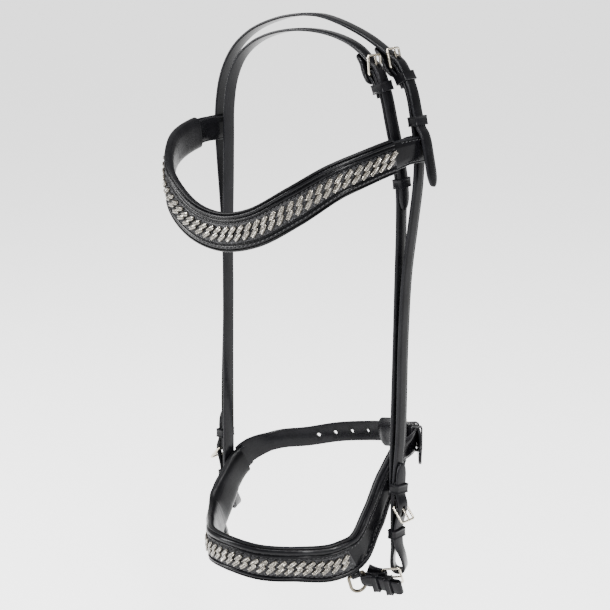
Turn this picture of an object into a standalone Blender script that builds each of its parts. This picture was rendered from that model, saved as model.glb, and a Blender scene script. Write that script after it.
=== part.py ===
"""Snaffle bridle headpiece with a crystal chain browband and a matching padded noseband.

Two narrow straps pass over the poll. The outer one is the headpiece: it carries the browband and
ends in a buckled bit loop on each side. The inner one hangs the noseband. Both are let out or taken
up at a buckle on the near side. A chin strap closes the noseband behind the jaw, and a rolled flash
strap hangs from a D-ring under the near side of the noseband.

Row frame: +Z up, -Y to the horse's nose, +X to its near (left) side. The origin is the middle of the
headpiece's underside at the poll. Dimensions below are in millimetres and become metres in new_mesh.
"""

import math

import bmesh
import bpy
import numpy as np

MM = 0.001

# Leather thicknesses and widths
STRAP_T = 2.4
STRAP_W = 13.0
BILLET_W = 12.2
THIN_T = 1.0
BROW_T = 2.0
NOSE_T = 2.4
NOSE_W = 27.5
NOSE_ARM_W = 30.5
NOSE_LEAN_OFF = 0.22
NOSE_LEAN_NEAR = 0.08
CHIN_W = 19.0
CHIN_T = 2.6
FLASH_W = 12.0
FLASH_T = 2.0
GAP = 0.4
FOLD_GAP = 0.35

# Metal
WIRE_R = 0.95
BUCKLE_LENGTH = 15.0
TONGUE_W = 2.4
TONGUE_T = 0.8
RING_WIRE_R = 1.25

# Height of the outer strap's middle over the poll, which puts its flat underside at the origin
POLL_Z = 1.211
POLL_FLAT = 8.0

# Stations along the straps that more than one piece refers to, as heights of the strap's middle line
CROWN_HEEL_Z = -36.0
HANGER_HEEL_Z = -41.5
NEAR_BIT_HEEL_Z = -404.0
OFF_BIT_HEEL_Z = -403.0

# Arc lengths from the middle of the line they are on
RING_AT = 110.5
RING_SLOPE = 0.6
RING_HALF = 7.0
BAR_DROP = 5.6
CHIN_HEEL = 62.0

# Middle lines of the straps on the horse. The two straps over the poll lie further apart on the
# near side, where their buckles are.
CHEEK_POLL_OFF = [
    (12, 0, 0.7),
    (35, 0, -3),
    (66, 0, -14),
    (89, 0.5, -31),
    (103.5, 1, -54),
    (110, 1.5, -80),
]
CHEEK_POLL_NEAR = [
    (12, 0, 0.7),
    (35, 0, -4.6),
    (64, 2, -16.5),
    (85, 5, -31.5),
    (99, 6, -52),
    (107, 6, -80),
]
CHEEK_OFF = [
    (111.5, 2, -105),
    (111, 3, -130),
    (108, 3, -165),
    (105, 2.5, -205),
    (103.6, 1.5, -260),
    (103.4, -2.5, -350),
    (103.4, -2.5, -400),
    (103.4, -2, -490),
]
CHEEK_NEAR = [
    (111, 6, -105),
    (111, 5.5, -130),
    (108.5, 3, -165),
    (105.5, 0, -205),
    (104, -1.5, -260),
    (103.8, -3, -350),
    (103.8, -8, -395),
    (103.8, -8, -430),
    (103.8, -5, -490),
]
HANGER_POLL_OFF = [(32, -6.5, -14.5), (58, -6, -23.5), (76, -6, -37), (87, -6, -56), (92, -6, -80)]
HANGER_POLL_NEAR = [(32, -7, -14), (60, -9.5, -23), (79, -12.8, -37), (88, -11.5, -57), (92, -8, -81)]
HANGER_NEAR = [
    (96, -4, -108),
    (98.5, -1, -135),
    (99, -0.5, -165),
    (98.8, -1, -205),
    (98.4, -1.5, -260),
    (98.4, -3, -330),
    (98.4, -5, -440),
]
HANGER_OFF = [
    (94, -5, -110),
    (96, -4, -150),
    (97.5, -4, -195),
    (98.3, -4, -260),
    (98.4, -5, -330),
    (98.4, -6, -440),
]
BROW_HALF = [
    (36, -110, -160),
    (70, -100, -140.5),
    (93, -79, -121.5),
    (105, -59, -112.5),
    (111.5, -33, -105.5),
    (113.7, -8, -102),
    (113.7, 22, -102),
]
NOSE_NEAR = [
    (31, -99, -449.5),
    (57.5, -80.5, -449.5),
    (76.5, -55.5, -450),
    (87, -38, -441),
    (90.7, -23.5, -419),
    (92, -10, -395),
    (93.3, 0, -379),
    (93.3, 9, -368),
    (91, 21, -361),
]
NOSE_OFF = [
    (-31, -96, -450.5),
    (-51, -76, -454),
    (-70, -54.5, -456.5),
    (-83.5, -37.5, -453.5),
    (-90, -24, -443),
    (-92.7, -11.5, -430),
    (-93.2, 1, -418),
    (-91.5, 14, -411),
]
CHIN_POINTS = [
    (-96.8, 1, -418),
    (-96.2, 12, -412),
    (-93, 28, -407),
    (-81, 47, -402),
    (-61, 63, -399),
    (-32, 75.5, -391),
    (0, 81, -384),
    (29, 79, -377.5),
    (52, 70, -371.5),
    (71, 56, -366),
    (86, 40, -363),
    (94.4, 24, -361.5),
    (96.8, 12, -362),
    (97.2, 0, -363),
]


def unit(v):
    return v / np.linalg.norm(v, axis=-1, keepdims=True)


def through_points(points, per_span=24):
    """A smooth curve through the points: centripetal Catmull-Rom, sampled densely."""
    p = np.array(points, float)
    p = np.vstack([2 * p[0] - p[1], p, 2 * p[-1] - p[-2]])
    samples = []
    for a, b, c, d in zip(p[:-3], p[1:-2], p[2:-1], p[3:]):
        k0 = 0.0
        k1 = k0 + math.sqrt(np.linalg.norm(b - a))
        k2 = k1 + math.sqrt(np.linalg.norm(c - b))
        k3 = k2 + math.sqrt(np.linalg.norm(d - c))
        k = np.linspace(k1, k2, per_span, endpoint=False)[:, None]
        ab = (a * (k1 - k) + b * (k - k0)) / (k1 - k0)
        bc = (b * (k2 - k) + c * (k - k1)) / (k2 - k1)
        cd = (c * (k3 - k) + d * (k - k2)) / (k3 - k2)
        abc = (ab * (k2 - k) + bc * (k - k0)) / (k2 - k0)
        bcd = (bc * (k3 - k) + cd * (k - k1)) / (k3 - k1)
        samples.append((abc * (k2 - k) + bcd * (k - k1)) / (k2 - k1))
    samples.append(p[-2][None, :])
    return np.vstack(samples)


def between_points(marks):
    """A smooth curve held inside the polyline of the marks: a quadratic B-spline with fixed ends."""
    p = np.array(marks, float)
    if len(p) == 2:
        return np.linspace(p[0], p[1], 61)
    mids = (p[1:] + p[:-1]) / 2
    starts = np.vstack([p[:1], mids[1:-1]])
    ends = np.vstack([mids[1:-1], p[-1:]])
    samples = []
    for a, corner, b in zip(starts, p[1:-1], ends):
        reach = np.linalg.norm(corner[:2] - a[:2]) + np.linalg.norm(b[:2] - corner[:2])
        k = np.linspace(0, 1, max(16, int(reach)), endpoint=False)[:, None]
        samples.append(a * (1 - k) ** 2 + 2 * corner * k * (1 - k) + b * k**2)
    samples.append(p[-1:])
    return np.vstack(samples)


class Line:
    """A curve in space with, at each place, a direction along it, one outward and one across it."""

    def __init__(self, points, across, zero_at=None):
        self.p = np.array(points, float)
        self.t = unit(np.gradient(self.p, axis=0))
        across = np.broadcast_to(np.array(across, float), self.p.shape)
        self.n = unit(np.cross(self.t, across))
        self.w = np.cross(self.n, self.t)
        steps = np.linalg.norm(np.diff(self.p, axis=0), axis=1)
        self.s = np.concatenate([[0.0], np.cumsum(steps)])
        if zero_at is not None:
            self.s = self.s - self.s[zero_at]

    def at(self, s):
        """Place, along, outward and across directions at arc length s."""
        values = []
        for table in (self.p, self.t, self.n, self.w):
            values.append(np.array([np.interp(s, self.s, table[:, i]) for i in range(3)]))
        place, along, outward, across = values
        return place, unit(along), unit(outward), unit(across)

    def spot(self, s, h=0.0, t=0.0):
        place, _, outward, across = self.at(s)
        return place + h * outward + t * across

    def s_at_height(self, z, side):
        """Arc length at which the near (side 1) or off (side -1) half comes down to height z."""
        half = self.s * side >= 0
        order = np.argsort(self.s[half] * side)
        heights = self.p[half][order][:, 2]
        lengths = (self.s[half] * side)[order]
        return side * float(np.interp(-z, -heights, lengths))


def line_over(off_half, middle, near_half, across):
    """A line from the off side, through the middle, to the near side. off_half is given mirrored."""
    off = [(-x, y, z) for x, y, z in reversed(off_half)]
    points = through_points(off + [middle] + list(near_half))
    return Line(points, across, zero_at=int(np.argmin(np.abs(points[:, 0]))))


def lay(line, marks):
    """A path laid on a line. Each mark is (along, outward, across, twist in degrees)."""
    full = [tuple(m) + (0.0,) * (4 - len(m)) for m in marks]
    points, across = [], []
    for s, h, t, twist in between_points(full):
        place, _, outward, side = line.at(s)
        turn = math.radians(twist)
        points.append(
            place
            + (h * math.cos(turn) + t * math.sin(turn)) * outward
            + (t * math.cos(turn) - h * math.sin(turn)) * side
        )
        across.append(math.cos(turn) * side + math.sin(turn) * outward)
    return Line(points, np.array(across))


def stations(path, sag=0.09, longest=45.0, spin=0.5):
    """Arc lengths close enough together for flats between them: each stays within sag of the curve
    and turns less than spin radians about it."""
    steps = np.maximum(np.diff(path.s), 1e-6)
    bend = np.linalg.norm(np.diff(path.t, axis=0), axis=1) / steps
    twist = np.abs(np.sum(np.diff(path.w, axis=0) * path.n[:-1], axis=1)) / steps
    bend = np.maximum(bend, 1e-6)
    wanted = np.minimum(np.minimum(np.sqrt(8 * sag / bend), 0.5 / bend), longest)
    wanted = np.minimum(wanted, spin / np.maximum(twist, 1e-6))
    count = np.concatenate([[0.0], np.cumsum(steps / wanted)])
    total = max(2, math.ceil(count[-1]))
    return [float(np.interp(count[-1] * k / total, count, path.s)) for k in range(total + 1)]


def new_mesh(name, points, faces, material, smooth=True):
    """An object from millimetre points, with every face turned outward."""
    mesh = bpy.data.meshes.new(name)
    mesh.from_pydata([tuple(float(c) * MM for c in p) for p in points], [], faces)
    shape = bmesh.new()
    shape.from_mesh(mesh)
    bmesh.ops.recalc_face_normals(shape, faces=shape.faces)
    shape.to_mesh(mesh)
    shape.free()
    mesh.materials.append(material)
    if smooth:
        mesh.shade_smooth()
        mesh.set_sharp_from_angle(angle=math.radians(40))
    thing = bpy.data.objects.new(name, mesh)
    bpy.context.scene.collection.objects.link(thing)
    return thing


def grid_faces(rows, columns, closed):
    """Quads between successive rows of a grid whose columns run round, with end caps unless closed."""
    faces = []
    for i in range(rows if closed else rows - 1):
        for j in range(columns):
            a, b = i * columns, (i + 1) % rows * columns
            k = (j + 1) % columns
            faces.append((a + j, a + k, b + k, b + j))
    if not closed:
        faces.append(tuple(reversed(range(columns))))
        faces.append(tuple(range((rows - 1) * columns, rows * columns)))
    return faces


def sweep(name, path, section, material, at=None):
    """A solid whose cross-section section(s) = [(across, outward), ...] runs along the path."""
    points = []
    rows = at if at is not None else stations(path)
    for s in rows:
        place, _, outward, across = path.at(s)
        points += [place + t * across + h * outward for t, h in section(s)]
    edge = [t for t, _ in section(rows[0])]
    faces = []
    for quad in grid_faces(len(rows), len(edge), False):
        if len(quad) != 4:
            faces.append(quad)
            continue
        # Layers that lie on each other nest only when their flats are halved along the same diagonal.
        a, b, c, d = quad
        if edge[a % len(edge)] > edge[b % len(edge)]:
            faces += [(a, b, c), (a, c, d)]
        else:
            faces += [(a, b, d), (b, c, d)]
    return new_mesh(name, points, faces, material)


def flat_section(width, thickness):
    """A strap's cross-section: a flat bar with its outer edges bevelled."""
    a, b = width / 2, thickness / 2
    c = 0.3 * thickness
    return [(a, -b), (a, b - c), (a - c, b), (c - a, b), (-a, b - c), (-a, -b)]


def strap(name, path, widths, thickness, material, flat_at=None):
    """A strap along a path. widths is [(arc length, width), ...]. It can be kept flat at one place."""
    at = set(stations(path)) | {s for s, _ in widths}
    if flat_at is not None:
        at = {s for s in at if abs(s - flat_at) > POLL_FLAT}
        at |= {flat_at - POLL_FLAT / 2, flat_at + POLL_FLAT / 2}
    at = sorted(at)
    keep = [at[0]]
    for s in at[1:]:
        if s - keep[-1] > 0.35:
            keep.append(s)
    keep[-1] = at[-1]
    lengths, values = zip(*widths)

    def section(s):
        return flat_section(float(np.interp(s, lengths, values)), thickness)

    return sweep(name, path, section, material, keep)


def blunt_ends(path, width, start=0.0, end=0.0):
    """Widths of a strap that narrows over the given lengths to a rounded end."""
    a, b = path.s[0], path.s[-1]
    widths = [(a, width), (b, width)]
    for length, edge, way in ((start, a, 1), (end, b, -1)):
        if length:
            widths = [w for w in widths if w[0] != edge]
            for share, part in ((0.0, 0.45), (0.2, 0.72), (0.55, 0.93), (1.0, 1.0)):
                widths.append((edge + way * length * share, width * part))
    return sorted(widths)


def closed_wire(name, loop, centre, u, v, radius, material, sides=6):
    """A closed wire of round section. loop is a flat outline [(along u, along v), ...]."""
    flat = np.array(loop, float)
    normal = np.cross(u, v)
    points = []
    for i, (a, b) in enumerate(flat):
        ahead = unit(flat[(i + 1) % len(flat)] - flat[i])
        behind = unit(flat[i] - flat[i - 1])
        tangent = unit(ahead + behind)
        away = tangent[1] * u - tangent[0] * v
        stretch = 1 / max(float(tangent @ ahead), 0.5)
        for k in range(sides):
            angle = 2 * math.pi * (k + 0.5) / sides
            ring = math.cos(angle) * stretch * away + math.sin(angle) * normal
            points.append(centre + a * u + b * v + radius * ring)
    return new_mesh(name, points, grid_faces(len(flat), sides, True), material)


def rounded_box(u0, u1, v0, v1, r, steps=3):
    """Outline of a rectangle with rounded corners."""
    outline = []
    corners = ((u1 - r, v1 - r, 0), (u0 + r, v1 - r, 90), (u0 + r, v0 + r, 180), (u1 - r, v0 + r, 270))
    for cu, cv, start in corners:
        for k in range(steps):
            angle = math.radians(start + 90 * k / (steps - 1))
            outline.append((cu + r * math.cos(angle), cv + r * math.sin(angle)))
    return outline


def keeper(name, line, s, low, high, width, band, material, t=0.0, thickness=1.2):
    """A leather loop round a strap and the billet on it, from height low to high."""
    place, along, outward, across = line.at(s)
    inner = rounded_box(t - width / 2 - GAP, t + width / 2 + GAP, low - GAP, high + GAP, 0.6, 2)
    wide = width / 2 + GAP + thickness
    outer = rounded_box(t - wide, t + wide, low - GAP - thickness, high + GAP + thickness, 1.4, 2)
    points = []
    for (a, b), (c, d) in zip(inner, outer):
        for x, y, way in ((a, b, -1), (c, d, -1), (c, d, 1), (a, b, 1)):
            points.append(place + x * across + y * outward + way * band / 2 * along)
    return new_mesh(name, points, grid_faces(len(inner), 4, True), material)


def box_points(line, s0, s1, h0, h1, half, t=0.0):
    """Eight corners of a cutter block standing on the line."""
    points = []
    for s in (s0, s1):
        for a, h in ((-half, h0), (half, h0), (half, h1), (-half, h1)):
            points.append(line.spot(s, h, t + a))
    return points


BOX_FACES = [(0, 1, 2, 3), (7, 6, 5, 4), (0, 4, 5, 1), (1, 5, 6, 2), (2, 6, 7, 3), (3, 7, 4, 0)]


def rod_points(line, s, h0, h1, radius, sides=10):
    """Corners of a round cutter standing on the line."""
    place, along, outward, across = line.at(s)
    points = []
    for h in (h0, h1):
        for k in range(sides):
            a = 2 * math.pi * k / sides
            points.append(
                place + h * outward + radius * (math.cos(a) * along + math.sin(a) * across)
            )
    return points


def cut(target, name, solids, material):
    """Takes hidden cutters, each (points, faces), out of the target."""
    points, faces = [], []
    for corners, quads in solids:
        faces += [tuple(len(points) + i for i in quad) for quad in quads]
        points += corners
    cutter = new_mesh(name, points, faces, material, smooth=False)
    cutter.hide_render = True
    cutter.display_type = "WIRE"
    modifier = target.modifiers.new("holes", "BOOLEAN")
    modifier.operation = "DIFFERENCE"
    modifier.solver = "EXACT"
    modifier.object = cutter


def slot(line, heel, way, h0, h1, near, far, half=1.6):
    """Cutter for a tongue's slot, from near to far mm beyond the heel bar."""
    ends = sorted((heel + way * near, heel + way * far))
    return box_points(line, ends[0], ends[1], h0, h1, half), BOX_FACES


def buckle(prefix, line, heel, way, h, tilt, inner_width, materials, t=0.0):
    """A single-bar buckle: a frame and a tongue hung on its heel bar.

    way is 1 when the front bar lies at larger s than the heel bar, and tilt raises it outward.
    """
    place, along, outward, across = line.at(heel)
    centre = place + h * outward + t * across
    turn = math.radians(tilt)
    u = math.cos(turn) * way * along + math.sin(turn) * outward
    n = math.cos(turn) * outward - math.sin(turn) * way * along
    half = inner_width / 2 + WIRE_R
    outline = rounded_box(0, BUCKLE_LENGTH, -half, half, 1.2, 2)
    closed_wire(prefix + "_frame", outline, centre, u, across, WIRE_R, materials["metal"])
    tongue(prefix + "_tongue", centre, u, n, across, materials["metal"])


def tongue(name, centre, u, n, across, material):
    """A flat tongue wrapped round the heel bar, its tip resting on the front bar."""
    eye = WIRE_R + 0.2 + TONGUE_T / 2
    rest = WIRE_R + 0.2 + TONGUE_T / 2
    points = []
    for k in range(8):
        angle = math.radians(-170 + 260 * k / 7)
        points.append(centre + eye * (math.cos(angle + math.pi) * u + math.sin(angle) * n))
    for along, up in ((4.0, eye + 0.1), (9.0, rest + 0.1), (BUCKLE_LENGTH + 0.8, rest)):
        points.append(centre + along * u + up * n)
    path = Line(points, np.array([across] * len(points)))
    half_w, half_t = TONGUE_W / 2, TONGUE_T / 2

    def section(s):
        return [(half_w, -half_t), (half_w, half_t), (-half_w, half_t), (-half_w, -half_t)]

    sweep(name, path, section, material, list(path.s))


def folded_end(heel, way, thickness, h=0.0, t=0.0):
    """Marks of a strap's end folded inward round a heel bar, ready to run on from the bar."""
    r = WIRE_R + FOLD_GAP + thickness / 2
    body = -way
    under = h - thickness - 0.4
    return [
        (heel + body * 20, under, t),
        (heel + body * 8, under, t),
        (heel + body * r, h - 2 * r, t),
        (heel - body * r, h - 2 * r, t),
        (heel - body * r, h, t),
        (heel + body * r, h, t),
    ]


def billet_over(heel, way, thickness):
    """Marks of a billet that comes under the front bar and over the folded end, then lies on it."""
    body = -way
    return [
        (heel - body * 26, 0.0),
        (heel - body * 11.5, 0.0),
        (heel - body * 1, thickness + 1.0),
        (heel + body * 6, thickness + 0.6),
        (heel + body * 15, thickness + GAP),
    ]


def safe_marks(heel, way, strap_t, safe_t, reach):
    """Marks of the flap that lies inside a buckle, reaching past its front bar."""
    body = -way
    r = WIRE_R + FOLD_GAP + strap_t / 2
    deep = -(2 * r + strap_t / 2 + GAP + safe_t / 2)
    shallow = -(strap_t / 2 + GAP + safe_t / 2)
    return [
        (heel - body * reach, shallow - 0.6),
        (heel - body * 14, shallow - 1.2),
        (heel - body * 6, deep - 0.2),
        (heel + body * 3, deep - 0.2),
        (heel + body * 7.6, deep + 1.0),
    ]


def heel_height(thickness):
    """Height of a heel bar that an inward fold of this thickness goes round."""
    return -(WIRE_R + FOLD_GAP + thickness / 2)


def bit_end(heel, side, sway, reach):
    """Marks from the cheek down round the bit and back up to the billet's tip.

    The loop hangs to reach below the bar, carried backward by sway, its eye turned to the front.
    """
    steps = [
        (30, 0.0, 0.0, 0.0),
        (reach - 24, -0.6, 0.1 * sway, -10.0),
        (reach - 14, -3.2, 0.5 * sway, -24.0),
        (reach, -3.2, sway, -24.0),
        (reach, 8.2, sway, -24.0),
        (reach - 14, 7.0, 0.5 * sway, -24.0),
        (reach - 24, 3.6, 0.1 * sway, -10.0),
        (32, 2.8, 0.0, 0.0),
        (22, 2.8, 0.0, 0.0),
        (14, 4.3, 0.0, 0.0),
        (3, 8.0, 0.0, 0.0),
        (-3, 7.8, 0.0, 0.0),
        (-8, 5.2, 0.0, 0.0),
        (-14, 4.3, 0.0, 0.0),
        (-24, 4.0, 0.0, 0.0),
        (-37, 3.4, 0.0, 0.0),
    ]
    return [(heel + side * d, h, t, side * twist) for d, h, t, twist in steps]


def make_lines():
    """The straps' middle lines, by name."""
    back = (0, 1, 0)
    up = (0, 0, 1)
    lines = {
        "cheek": line_over(
            CHEEK_POLL_OFF + CHEEK_OFF, (0, 0, POLL_Z), CHEEK_POLL_NEAR + CHEEK_NEAR, back
        ),
        "hanger": line_over(
            HANGER_POLL_OFF + HANGER_OFF, (0, -6.5, -11), HANGER_POLL_NEAR + HANGER_NEAR, back
        ),
        "brow": line_over(BROW_HALF, (0, -112, -167), BROW_HALF, up),
    }
    nose = through_points(list(reversed(NOSE_OFF)) + [(0, -104, -448.5)] + NOSE_NEAR)
    middle = int(np.argmin(np.abs(nose[:, 0])))
    upright = Line(nose, up, zero_at=middle)
    lean = np.interp(
        upright.s,
        [-150, -125, -75, -40, 40, 75, 125, 150],
        [0, NOSE_LEAN_OFF, NOSE_LEAN_OFF, 0, 0, NOSE_LEAN_NEAR, NOSE_LEAN_NEAR, 0],
    )
    lines["nose"] = Line(nose, np.array(up) + lean[:, None] * upright.n, zero_at=middle)
    chin = through_points(CHIN_POINTS)
    lines["chin"] = Line(chin, (0, 0, -1), zero_at=int(np.argmin(np.abs(chin[:, 0]))))
    lines["near_ring"] = ring_line(lines["nose"], RING_AT)
    lines["off_ring"] = ring_line(lines["nose"], -RING_AT)
    leg, down, outward, level = lines["near_ring"].at(BAR_DROP + 7.7)
    leg = leg + RING_HALF * level - 1.8 * outward
    direction = unit(0.72 * level + 0.69 * outward)
    lines["flash"] = Line(between_points([leg - 10 * direction, leg + 50 * direction]), -down, 10)
    return lines


def ring_line(nose, s):
    """A line down the noseband's outside at s, its zero on the lower edge."""
    place, along, outward, rise = nose.at(s)
    level = unit(along * (1, 1, RING_SLOPE))
    down = unit(np.cross(level, outward))
    edge = place + down * NOSE_ARM_W / 2 / abs(float(down @ rise))
    return Line(np.linspace(edge - 30 * down, edge + 30 * down, 61), level, 30)


def make_material(name, colour, roughness, metallic):
    material = bpy.data.materials.new(name)
    material.use_nodes = True
    surface = material.node_tree.nodes["Principled BSDF"]
    surface.inputs["Base Color"].default_value = (*colour, 1.0)
    surface.inputs["Roughness"].default_value = roughness
    surface.inputs["Metallic"].default_value = metallic
    return material


def make_materials():
    return {
        "leather": make_material("black_leather", (0.012, 0.012, 0.014), 0.38, 0.0),
        "padding": make_material("padded_leather", (0.014, 0.014, 0.016), 0.32, 0.0),
        "inlay": make_material("beaded_mesh", (0.02, 0.02, 0.022), 0.6, 0.2),
        "chain": make_material("crystal_chain", (0.45, 0.42, 0.37), 0.25, 0.7),
        "metal": make_material("pale_nickel", (0.72, 0.68, 0.6), 0.22, 1.0),
        "ring": make_material("dark_nickel", (0.3, 0.28, 0.24), 0.28, 1.0),
    }


def make_headpiece(lines, m):
    """The outer strap from the near billet, over the poll and down the off side to its bit loop."""
    cheek = lines["cheek"]
    heel = cheek.s_at_height(CROWN_HEEL_Z, 1)
    off_heel = cheek.s_at_height(OFF_BIT_HEEL_Z, -1)
    down = [cheek.s_at_height(z, 1) for z in (-85, -90, -112, -131)]
    marks = list(reversed(bit_end(off_heel, -1, 20.0, 65.5)))
    marks += [(off_heel + 40, 0), (off_heel + 120, 0), (-60, 0), (60 - heel * 0.2, 0)]
    marks += billet_over(heel, -1, STRAP_T)
    marks += [(down[0], 2.9), (down[1], 7.8), (down[2], 9.4, 1), (down[3], 13, 4)]
    path = lay(cheek, marks)
    end = path.s[-1]
    widths = blunt_ends(path, BILLET_W, 13, 13)
    widths = widths[:-4] + [(205, BILLET_W), (225, STRAP_W), (end - 135, STRAP_W)]
    widths += [(end - 125, BILLET_W)] + blunt_ends(path, BILLET_W, 13, 13)[-4:]
    poll = float(path.s[np.argmin(np.abs(path.p[:, 0]))])
    thing = strap("crown_strap", path, sorted(set(widths)), STRAP_T, m["leather"], poll)
    holes = [
        slot(cheek, heel, -1, -1.6, 6.0, 2.2, 9.2),
        slot(cheek, off_heel, -1, 2.9, 12.0, -0.4, 9.4),
    ]
    cut(thing, "cut_crown_strap", holes, m["leather"])


def make_near_cheek(lines, m):
    """The near cheekpiece, folded round the crown buckle at the top and looped for the bit below."""
    cheek = lines["cheek"]
    heel = cheek.s_at_height(CROWN_HEEL_Z, 1)
    bit_heel = cheek.s_at_height(NEAR_BIT_HEEL_Z, 1)
    marks = folded_end(heel, -1, STRAP_T)
    marks += [(heel + 40, 0), (bit_heel - 60, 0)] + bit_end(bit_heel, 1, 3.0, 62.5)
    path = lay(cheek, marks)
    end = path.s[-1]
    widths = [(0, BILLET_W), (60, BILLET_W), (75, STRAP_W), (end - 210, STRAP_W)]
    widths += [(end - 195, BILLET_W)] + blunt_ends(path, BILLET_W, 0, 13)[-4:]
    thing = strap("near_cheekpiece", path, widths, STRAP_T, m["leather"])
    holes = [
        slot(cheek, heel, -1, -8.0, 2.5, -2.5, 5.0),
        slot(cheek, bit_heel, 1, 2.9, 12.0, -0.4, 9.4),
    ]
    cut(thing, "cut_near_cheekpiece", holes, m["leather"])


def make_crown_buckle(lines, m):
    cheek = lines["cheek"]
    heel = cheek.s_at_height(CROWN_HEEL_Z, 1)
    buckle("crown_buckle", cheek, heel, -1, heel_height(STRAP_T), 25, 13.2, m)
    path = lay(cheek, safe_marks(heel, -1, STRAP_T, 1.6, 25))
    widths = blunt_ends(path, 17.0, 8, 5)
    strap("crown_buckle_safe", path, widths, 1.6, m["leather"])
    keeper("crown_keeper_upper", cheek, heel + 12, -4.5, 4.2, STRAP_W, 8, m["leather"])
    runner = cheek.s_at_height(-80, 1)
    keeper("crown_keeper_runner", cheek, runner, -1.3, 5.5, STRAP_W, 8, m["leather"])


def make_hanger(lines, m):
    """The inner strap from the near billet over the poll to the off side of the noseband."""
    line = lines["hanger"]
    heel = line.s_at_height(HANGER_HEEL_Z, 1)
    off_end = line.s_at_height(-426, -1)
    tip = line.s_at_height(-152, 1)
    marks = [(off_end, 0), (off_end + 150, 0), (-60, 0), (heel - 40, 0)]
    marks += billet_over(heel, -1, STRAP_T) + [(tip - 20, 2.9), (tip, 2.9)]
    path = lay(line, marks)
    end = path.s[-1]
    widths = [(0, STRAP_W), (end - 145, STRAP_W), (end - 135, BILLET_W)]
    widths += blunt_ends(path, BILLET_W, 0, 13)[-4:]
    thing = strap("noseband_hanger", path, widths, STRAP_T, m["leather"])
    holes = [slot(line, heel, -1, -1.6, 6.0, 2.2, 9.2)]
    cut(thing, "cut_noseband_hanger", holes, m["leather"])


def make_near_hanger(lines, m):
    """The near half of the hanger, folded round its buckle and sewn to the noseband below."""
    line = lines["hanger"]
    heel = line.s_at_height(HANGER_HEEL_Z, 1)
    foot = line.s_at_height(-397, 1)
    path = lay(line, folded_end(heel, -1, STRAP_T) + [(heel + 40, 0), (foot - 40, 0), (foot, 0)])
    widths = [(0, BILLET_W), (60, BILLET_W), (75, STRAP_W), (path.s[-1], STRAP_W)]
    thing = strap("near_hanger_strap", path, widths, STRAP_T, m["leather"])
    cut(thing, "cut_near_hanger", [slot(line, heel, -1, -8.0, 2.5, -2.5, 5.0)], m["leather"])


def make_hanger_buckle(lines, m):
    line = lines["hanger"]
    heel = line.s_at_height(HANGER_HEEL_Z, 1)
    buckle("hanger_buckle", line, heel, -1, heel_height(STRAP_T), 25, 13.2, m)
    path = lay(line, safe_marks(heel, -1, STRAP_T, 1.6, 25))
    strap("hanger_buckle_safe", path, blunt_ends(path, 17.0, 8, 5), 1.6, m["leather"])
    keeper("hanger_keeper_upper", line, heel + 12.5, -4.5, 4.2, STRAP_W, 8, m["leather"])
    runner = line.s_at_height(-130, 1)
    keeper("hanger_keeper_runner", line, runner, -1.3, 4.2, STRAP_W, 8, m["leather"])


def make_bit_buckle(lines, prefix, side, heel_z, m):
    """The chape, buckle and keepers that close one bit loop."""
    cheek = lines["cheek"]
    heel = cheek.s_at_height(heel_z, side)
    steps = [(-22, 2.1), (-8, 2.1), (-1.75, 2.1), (1.7, 2.1), (1.7, 5.5), (-1.75, 5.5)]
    steps += [(-4, 5.2), (-6.5, 4.1)]
    path = lay(cheek, [(heel + side * d, h) for d, h in steps])
    widths = blunt_ends(path, BILLET_W, 5, 0)
    chape = strap(prefix + "_chape", path, widths, THIN_T, m["leather"])
    holes = [slot(cheek, heel, side, 1.0, 7.0, -2.5, 3.5)]
    cut(chape, "cut_" + prefix + "_chape", holes, m["leather"])
    buckle(prefix + "_buckle", cheek, heel, side, 3.8, 42, 14.0, m)
    keeper(prefix + "_keeper_upper", cheek, heel - side * 15, -1.3, 5.9, STRAP_W, 8, m["leather"])
    keeper(prefix + "_keeper_lower", cheek, heel + side * 25.5, -1.4, 4.2, STRAP_W, 8, m["leather"])


def padded_section(half):
    """Cross-section of the padded lining: a pillow behind the leather, rolled over its edges."""
    side = [
        (half + 0.4, -1.7),
        (half + 0.4, 1.4),
        (half + 1.8, 1.1),
        (half + 1.9, -3.0),
        (half * 0.62, -6.4),
    ]
    return side + [(-t, h) for t, h in reversed(side)]


def make_browband(lines, m):
    """The browband: shaped leather looped round the headpiece, its padding, inlay and chain."""
    line = lines["brow"]
    end = line.s[-1] - 7.8
    inner = [(end - 40, -2.5), (end - 30, -2.5), (end - 20, -7.3), (end - 8, -7.3)]
    half = inner + [(end, -7.3), (end, 0.0), (end - 6, 0.0), (end - 30, 0.0), (end - 100, 0.0)]
    marks = [(-s, h) for s, h in half] + list(reversed(half))
    path = lay(line, marks)
    mid = path.s[-1] / 2
    stop = end - 42
    rows = rows_between(line, -stop - 4, stop + 4)
    profile = ((0, 14.2), (80, 13.6), (120, 12.4), (end - 40, 12), (end - 25, 10.8), (mid, 10.5))
    lengths, halves = zip(*profile)
    loops = [s for s in stations(path) if abs(s - mid) > stop + 6]
    body_rows = sorted(loops + [mid + s for s in rows])

    def body_section(s):
        return flat_section(2 * float(np.interp(abs(s - mid), lengths, halves)), BROW_T)

    def padding_section(s):
        return padded_section(float(np.interp(abs(s), lengths, halves)))

    sweep("browband_body", path, body_section, m["leather"], body_rows)
    sweep("browband_padding", line, padding_section, m["padding"], rows[1:-1])
    trim("browband", line, rows[1:-1], 14.0, BROW_T, m)


def rows_between(line, first, last):
    """The line's stations from first to last, shared by every layer of a band so they nest."""
    inside = [s for s in stations(line, spin=0.07)]
    return [first, first + 4] + [s for s in inside if first + 6 < s < last - 6] + [last - 4, last]


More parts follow.
